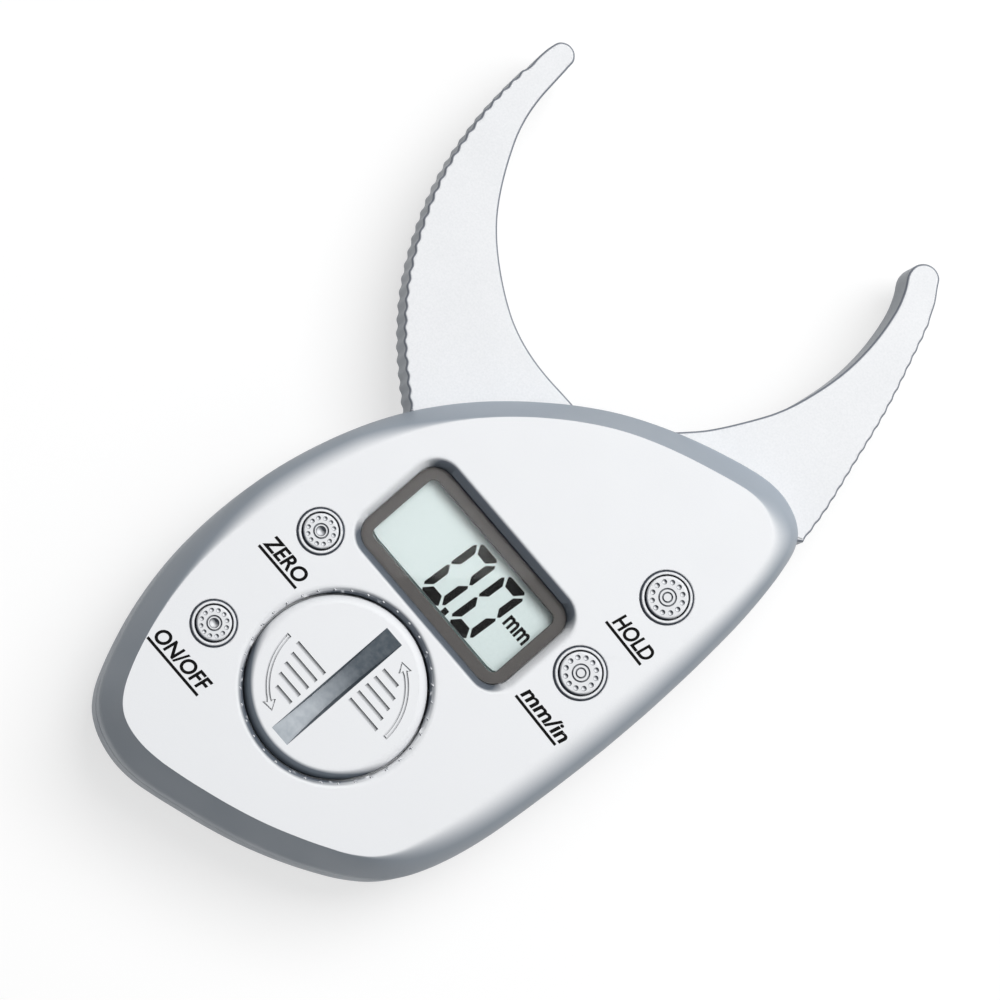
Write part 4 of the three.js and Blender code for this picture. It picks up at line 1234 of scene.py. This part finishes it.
def housing_screw(node):
    """A pan-head screw with a cross drive, its head towards the back."""
    place = centre_of(node).xy
    low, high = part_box(node)
    head_radius = size_of(node).x / 2
    seat = screw_seat(node)
    shank = head_radius * SHANK_SHARE
    tip = shank * TIP_SHARE
    profile = [(tip, high.z), (shank, high.z - tip), (shank, seat), (head_radius, seat)]
    for step in range(1, ROUND_STEPS + 1):
        angle = QUARTER_TURN * step / (ROUND_STEPS + 1)
        radius = head_radius * math.sqrt(math.cos(angle))
        profile.append((radius, seat - (seat - low.z) * math.sin(angle)))
    profile.append((profile[-1][0] * HEAD_FLAT_SHARE, low.z))
    screw = turned("screw", profile[::-1], place, steps=SCREW_STEPS)
    half = SCREW_DRIVE / 2
    outline = rectangle(-SCREW_DRIVE_REACH, -half, SCREW_DRIVE_REACH, half)
    bars = [
        prism("bar", moved(outline, turn, place), low.z - CUT_PAST, low.z + SCREW_DRIVE_DEPTH)
        for turn in [0, QUARTER_TURN]
    ]
    screw = smooth(cut(screw, *bars))
    dress(screw, node.replace("housing", "cover"), "steel", node)


# Shader nodes


def feed(tree, node, inputs):
    """Sets each of a node's inputs to a value, or links it to another node's output."""
    for name, value in inputs.items():
        if isinstance(value, bpy.types.NodeSocket):
            tree.links.new(value, node.inputs[name])
        else:
            node.inputs[name].default_value = value


def outputs_of(tree, kind, inputs, operation=None):
    """The outputs of a new node with the given inputs."""
    node = tree.nodes.new("ShaderNode" + kind)
    if operation:
        node.operation = operation
    feed(tree, node, inputs)
    return node.outputs


def computed(tree, operation, *values):
    return outputs_of(tree, "Math", dict(enumerate(values)), operation)[0]


def parts_along(tree, coordinate):
    """The three parts of one of the surface's own coordinates."""
    vector = outputs_of(tree, "TexCoord", {})[coordinate]
    return outputs_of(tree, "SeparateXYZ", {"Vector": vector})


def noise(tree, scale, detail):
    vector = outputs_of(tree, "TexCoord", {})["Object"]
    return outputs_of(tree, "TexNoise", {"Vector": vector, "Scale": scale, "Detail": detail})[0]


def spread(tree, value, low, high, first=0, second=1):
    """A value that runs from the first to the second as another goes from low to high."""
    inputs = {"Value": value, "From Min": low, "From Max": high, "To Min": first, "To Max": second}
    return outputs_of(tree, "MapRange", inputs)[0]


def value_between(tree, share, first, second):
    return spread(tree, share, PATTERN_LOW, PATTERN_HIGH, first, second)


def colour_between(tree, share, first, second):
    colour = outputs_of(tree, "ValToRGB", {"Fac": share})[0]
    start, end = colour.node.color_ramp.elements
    start.color = (*first, 1)
    end.color = (*second, 1)
    start.position = PATTERN_LOW
    end.position = PATTERN_HIGH
    return colour


def mixed(tree, share, first, second):
    return outputs_of(tree, "MixRGB", {"Fac": share, "Color1": first, "Color2": second})[0]


def pale_share(tree, places):
    """How free of painted shade a coat is, from 0 to 1: the least of the shares that the places give."""
    facing = parts_along(tree, "Normal")
    least = 1
    for axis, both_ways, darkest, palest in places:
        level = computed(tree, "ABSOLUTE", facing[axis]) if both_ways else facing[axis]
        least = computed(tree, "MINIMUM", least, spread(tree, level, darkest, palest))
    return least


def darkened(tree, colour, dark_colour, places):
    """A colour with painted shade, which turns darker at some places."""
    return mixed(tree, pale_share(tree, places), (*dark_colour, 1), colour)


def bump(tree, scale, detail, height, strength):
    inputs = {"Distance": height, "Strength": strength, "Height": noise(tree, scale, detail)}
    return outputs_of(tree, "Bump", inputs)[0]


# Materials


def new_material(name, colour, roughness, metallic=0, gloss=PLAIN_GLOSS):
    material = bpy.data.materials.new(name)
    material.use_nodes = True
    tree = material.node_tree
    shader = tree.nodes["Principled BSDF"]
    feed(tree, shader, {"Base Color": (*colour, 1), "Roughness": roughness,
                        "Metallic": metallic, "Specular IOR Level": gloss})
    return material, tree, shader


def finish(name, grain, shades, roughness, cloud=None, bump_at=None, dark=(), **base):
    """A material whose shade, roughness and surface vary, with any painted shade, as one row of the
    finishes says.
    """
    material, tree, shader = new_material(name, shades[0], roughness[0], **base)
    colour = colour_between(tree, noise(tree, *grain), *shades)
    # Painted shade: the colour turns darker where the surface faces as the places say
    for dark_colour, places in dark:
        colour = darkened(tree, colour, dark_colour, places)
    feed(tree, shader, {"Base Color": colour})
    if len(roughness) > 1:
        uneven = noise(tree, *(cloud or grain))
        feed(tree, shader, {"Roughness": value_between(tree, uneven, *roughness)})
    if bump_at:
        feed(tree, shader, {"Normal": bump(tree, *bump_at)})
    return material


def slot_silver_with_shade():
    """Silver lacquer with painted shade: dark, darker towards the slot's +Y end and on its walls, with
    fine specks.
    """
    material, tree, shader = new_material("slot_silver_with_shade", SLOT_PAINTED_SHADE_ENDS[0], SLOT_ROUGHNESS[0])
    along = parts_along(tree, "Object")["Y"]
    half = COIN_LENGTH / 2
    share = spread(tree, along, battery.y - half, battery.y + half)
    # Painted shade: darker from the slot's -Y end to its +Y end
    painted_slot_shade = colour_between(tree, share, *SLOT_PAINTED_SHADE_ENDS)
    specks = colour_between(tree, noise(tree, *SLOT_SPECKS), *SPECK_SHADES)
    colour = mixed(tree, SPECK_SHARE, painted_slot_shade, specks)
    feed(tree, shader, {
        "Base Color": darkened(tree, colour, SLOT_PAINTED_WALL_SHADE, IN_SLOT),
        "Roughness": value_between(tree, noise(tree, *SLOT_CLOUD), *SLOT_ROUGHNESS),
    })
    return material


def clear_window():
    """Clear hard plastic that lets the lamps' light through to the display."""
    material, tree, shader = new_material("clear_window", WHITE, WINDOW_ROUGHNESS[1])
    haze = value_between(tree, noise(tree, *WINDOW_HAZE), *WINDOW_ROUGHNESS)
    feed(tree, shader, {"Transmission Weight": 1, "IOR": WINDOW_IOR, "Roughness": haze})
    clear = outputs_of(tree, "BsdfTransparent", {})[0]
    rays = outputs_of(tree, "LightPath", {})
    passing = computed(tree, "MAXIMUM", rays["Is Shadow Ray"], rays["Is Diffuse Ray"])
    surface = outputs_of(tree, "MixShader", {"Fac": passing, 1: shader.outputs[0], 2: clear})[0]
    feed(tree, tree.nodes["Material Output"], {"Surface": surface})
    return material


def repaint(names, finish_name):
    """Gives model nodes that show as they are their finish."""
    for name in names:
        for slot in nodes[name].material_slots:
            slot.link = "OBJECT"
            slot.material = finishes[finish_name]


# Setting


def picture_axes():
    """The picture's right and up directions and the direction to the camera."""
    toward = CAMERA_TOWARD.normalized()
    forward = -toward
    along = (Vector((1, 0, 0)) - forward * forward.x).normalized()
    across = forward.cross(along)
    right = along * math.cos(CAMERA_TURN) - across * math.sin(CAMERA_TURN)
    down = along * math.sin(CAMERA_TURN) + across * math.cos(CAMERA_TURN)
    return right, -down, toward


picture_right, picture_up, camera_toward = picture_axes()
camera_place = CAMERA_AIM + camera_toward * CAMERA_DISTANCE


def add_camera():
    data = bpy.data.cameras.new("camera")
    data.lens = CAMERA_LENS
    camera = add_object("camera", data)
    axes = Matrix((picture_right, picture_up, camera_toward)).transposed().to_4x4()
    camera.matrix_world = Matrix.Translation(camera_place) @ axes
    bpy.context.scene.camera = camera


def add_panel(name, centre, along, width, depth, radiance):
    """A soft panel overhead that faces straight down."""
    data = bpy.data.lights.new(name, "AREA")
    data.shape = "RECTANGLE"
    data.size = width
    data.size_y = depth
    data.energy = math.pi * width * depth * radiance
    turn = math.atan2(along.y, along.x)
    lamp = add_object(name, data)
    lamp.matrix_world = Matrix.Translation(centre) @ Matrix.Rotation(turn, 4, "Z")


def add_lamps():
    """Soft panels overhead. The edge of the main one is mirrored across the display's window."""
    away = Vector((*picture_up.xy, 0)).normalized()
    across = Vector((*picture_right.xy, 0)).normalized()
    rise = camera_place.z - window_top
    glare = Vector((*display, window_top)) + away * GLARE_RISE
    mirrored_camera = Vector((*camera_place.xy, window_top - rise))
    edge = glare + (glare - mirrored_camera) * ((PANEL_HEIGHT - window_top) / rise)
    for name, (side, gap, width, depth, radiance) in PANELS.items():
        centre = edge + away * side * (gap + depth / 2) + across * PANEL_SHIFT
        add_panel(name, centre, across, width, depth, radiance)


def camera_share(tree):
    """1 for rays that the camera sees directly, in gloss or through glass, and 0 for the rest."""
    rays = outputs_of(tree, "LightPath", {})
    seen = computed(tree, "MAXIMUM", rays["Is Camera Ray"], rays["Is Glossy Ray"])
    return computed(tree, "MAXIMUM", seen, rays["Is Transmission Ray"])


def add_world():
    world = bpy.data.worlds.new("studio")
    world.use_nodes = True
    tree = world.node_tree
    strength = spread(tree, camera_share(tree), 0, 1, AMBIENT, 1)
    feed(tree, tree.nodes["Background"], {"Color": (*WHITE, 1), "Strength": strength})
    bpy.context.scene.world = world


def floor_material():
    """A pale floor that shows white with a soft shadow, and throws little light back up."""
    material, tree, shader = new_material("floor", WHITE, 1, gloss=0)
    share = camera_share(tree)
    feed(tree, shader, {
        "Base Color": spread(tree, share, 0, 1, *FLOOR_SHADES),
        "Emission Color": (*WHITE, 1),
        "Emission Strength": spread(tree, share, 0, 1, 0, FLOOR_GLOW),
    })
    return material


def add_floor():
    half = FLOOR_SIZE / 2
    level = Vector(cad_box[0]).z - FLOOR_GAP
    corners = place_points(rectangle(-half, -half, half, half), level)
    floor = mesh_object("floor", corners, [(0, 1, 2, 3)])
    floor.data.materials.append(floor_material())


# The whole scene

bpy.context.scene.view_settings.view_transform = "Standard"
add_camera()
add_lamps()
add_world()
add_floor()

finishes = {name: finish(name, **settings) for name, settings in FINISHES.items()}
finishes["slot_silver_with_shade"] = slot_silver_with_shade()
finishes["clear_window"] = clear_window()
front_cover()
back_cover()
moving_jaw()
fixed_jaw()
battery_cap()
display_bezel()
display_window()
display_figures()
for key in KEYS:
    dotted_button(key)
    label(key)
for screw in SCREWS:
    housing_screw(screw)
for finish_name, names in BARE_NODES.items():
    repaint(names, finish_name)
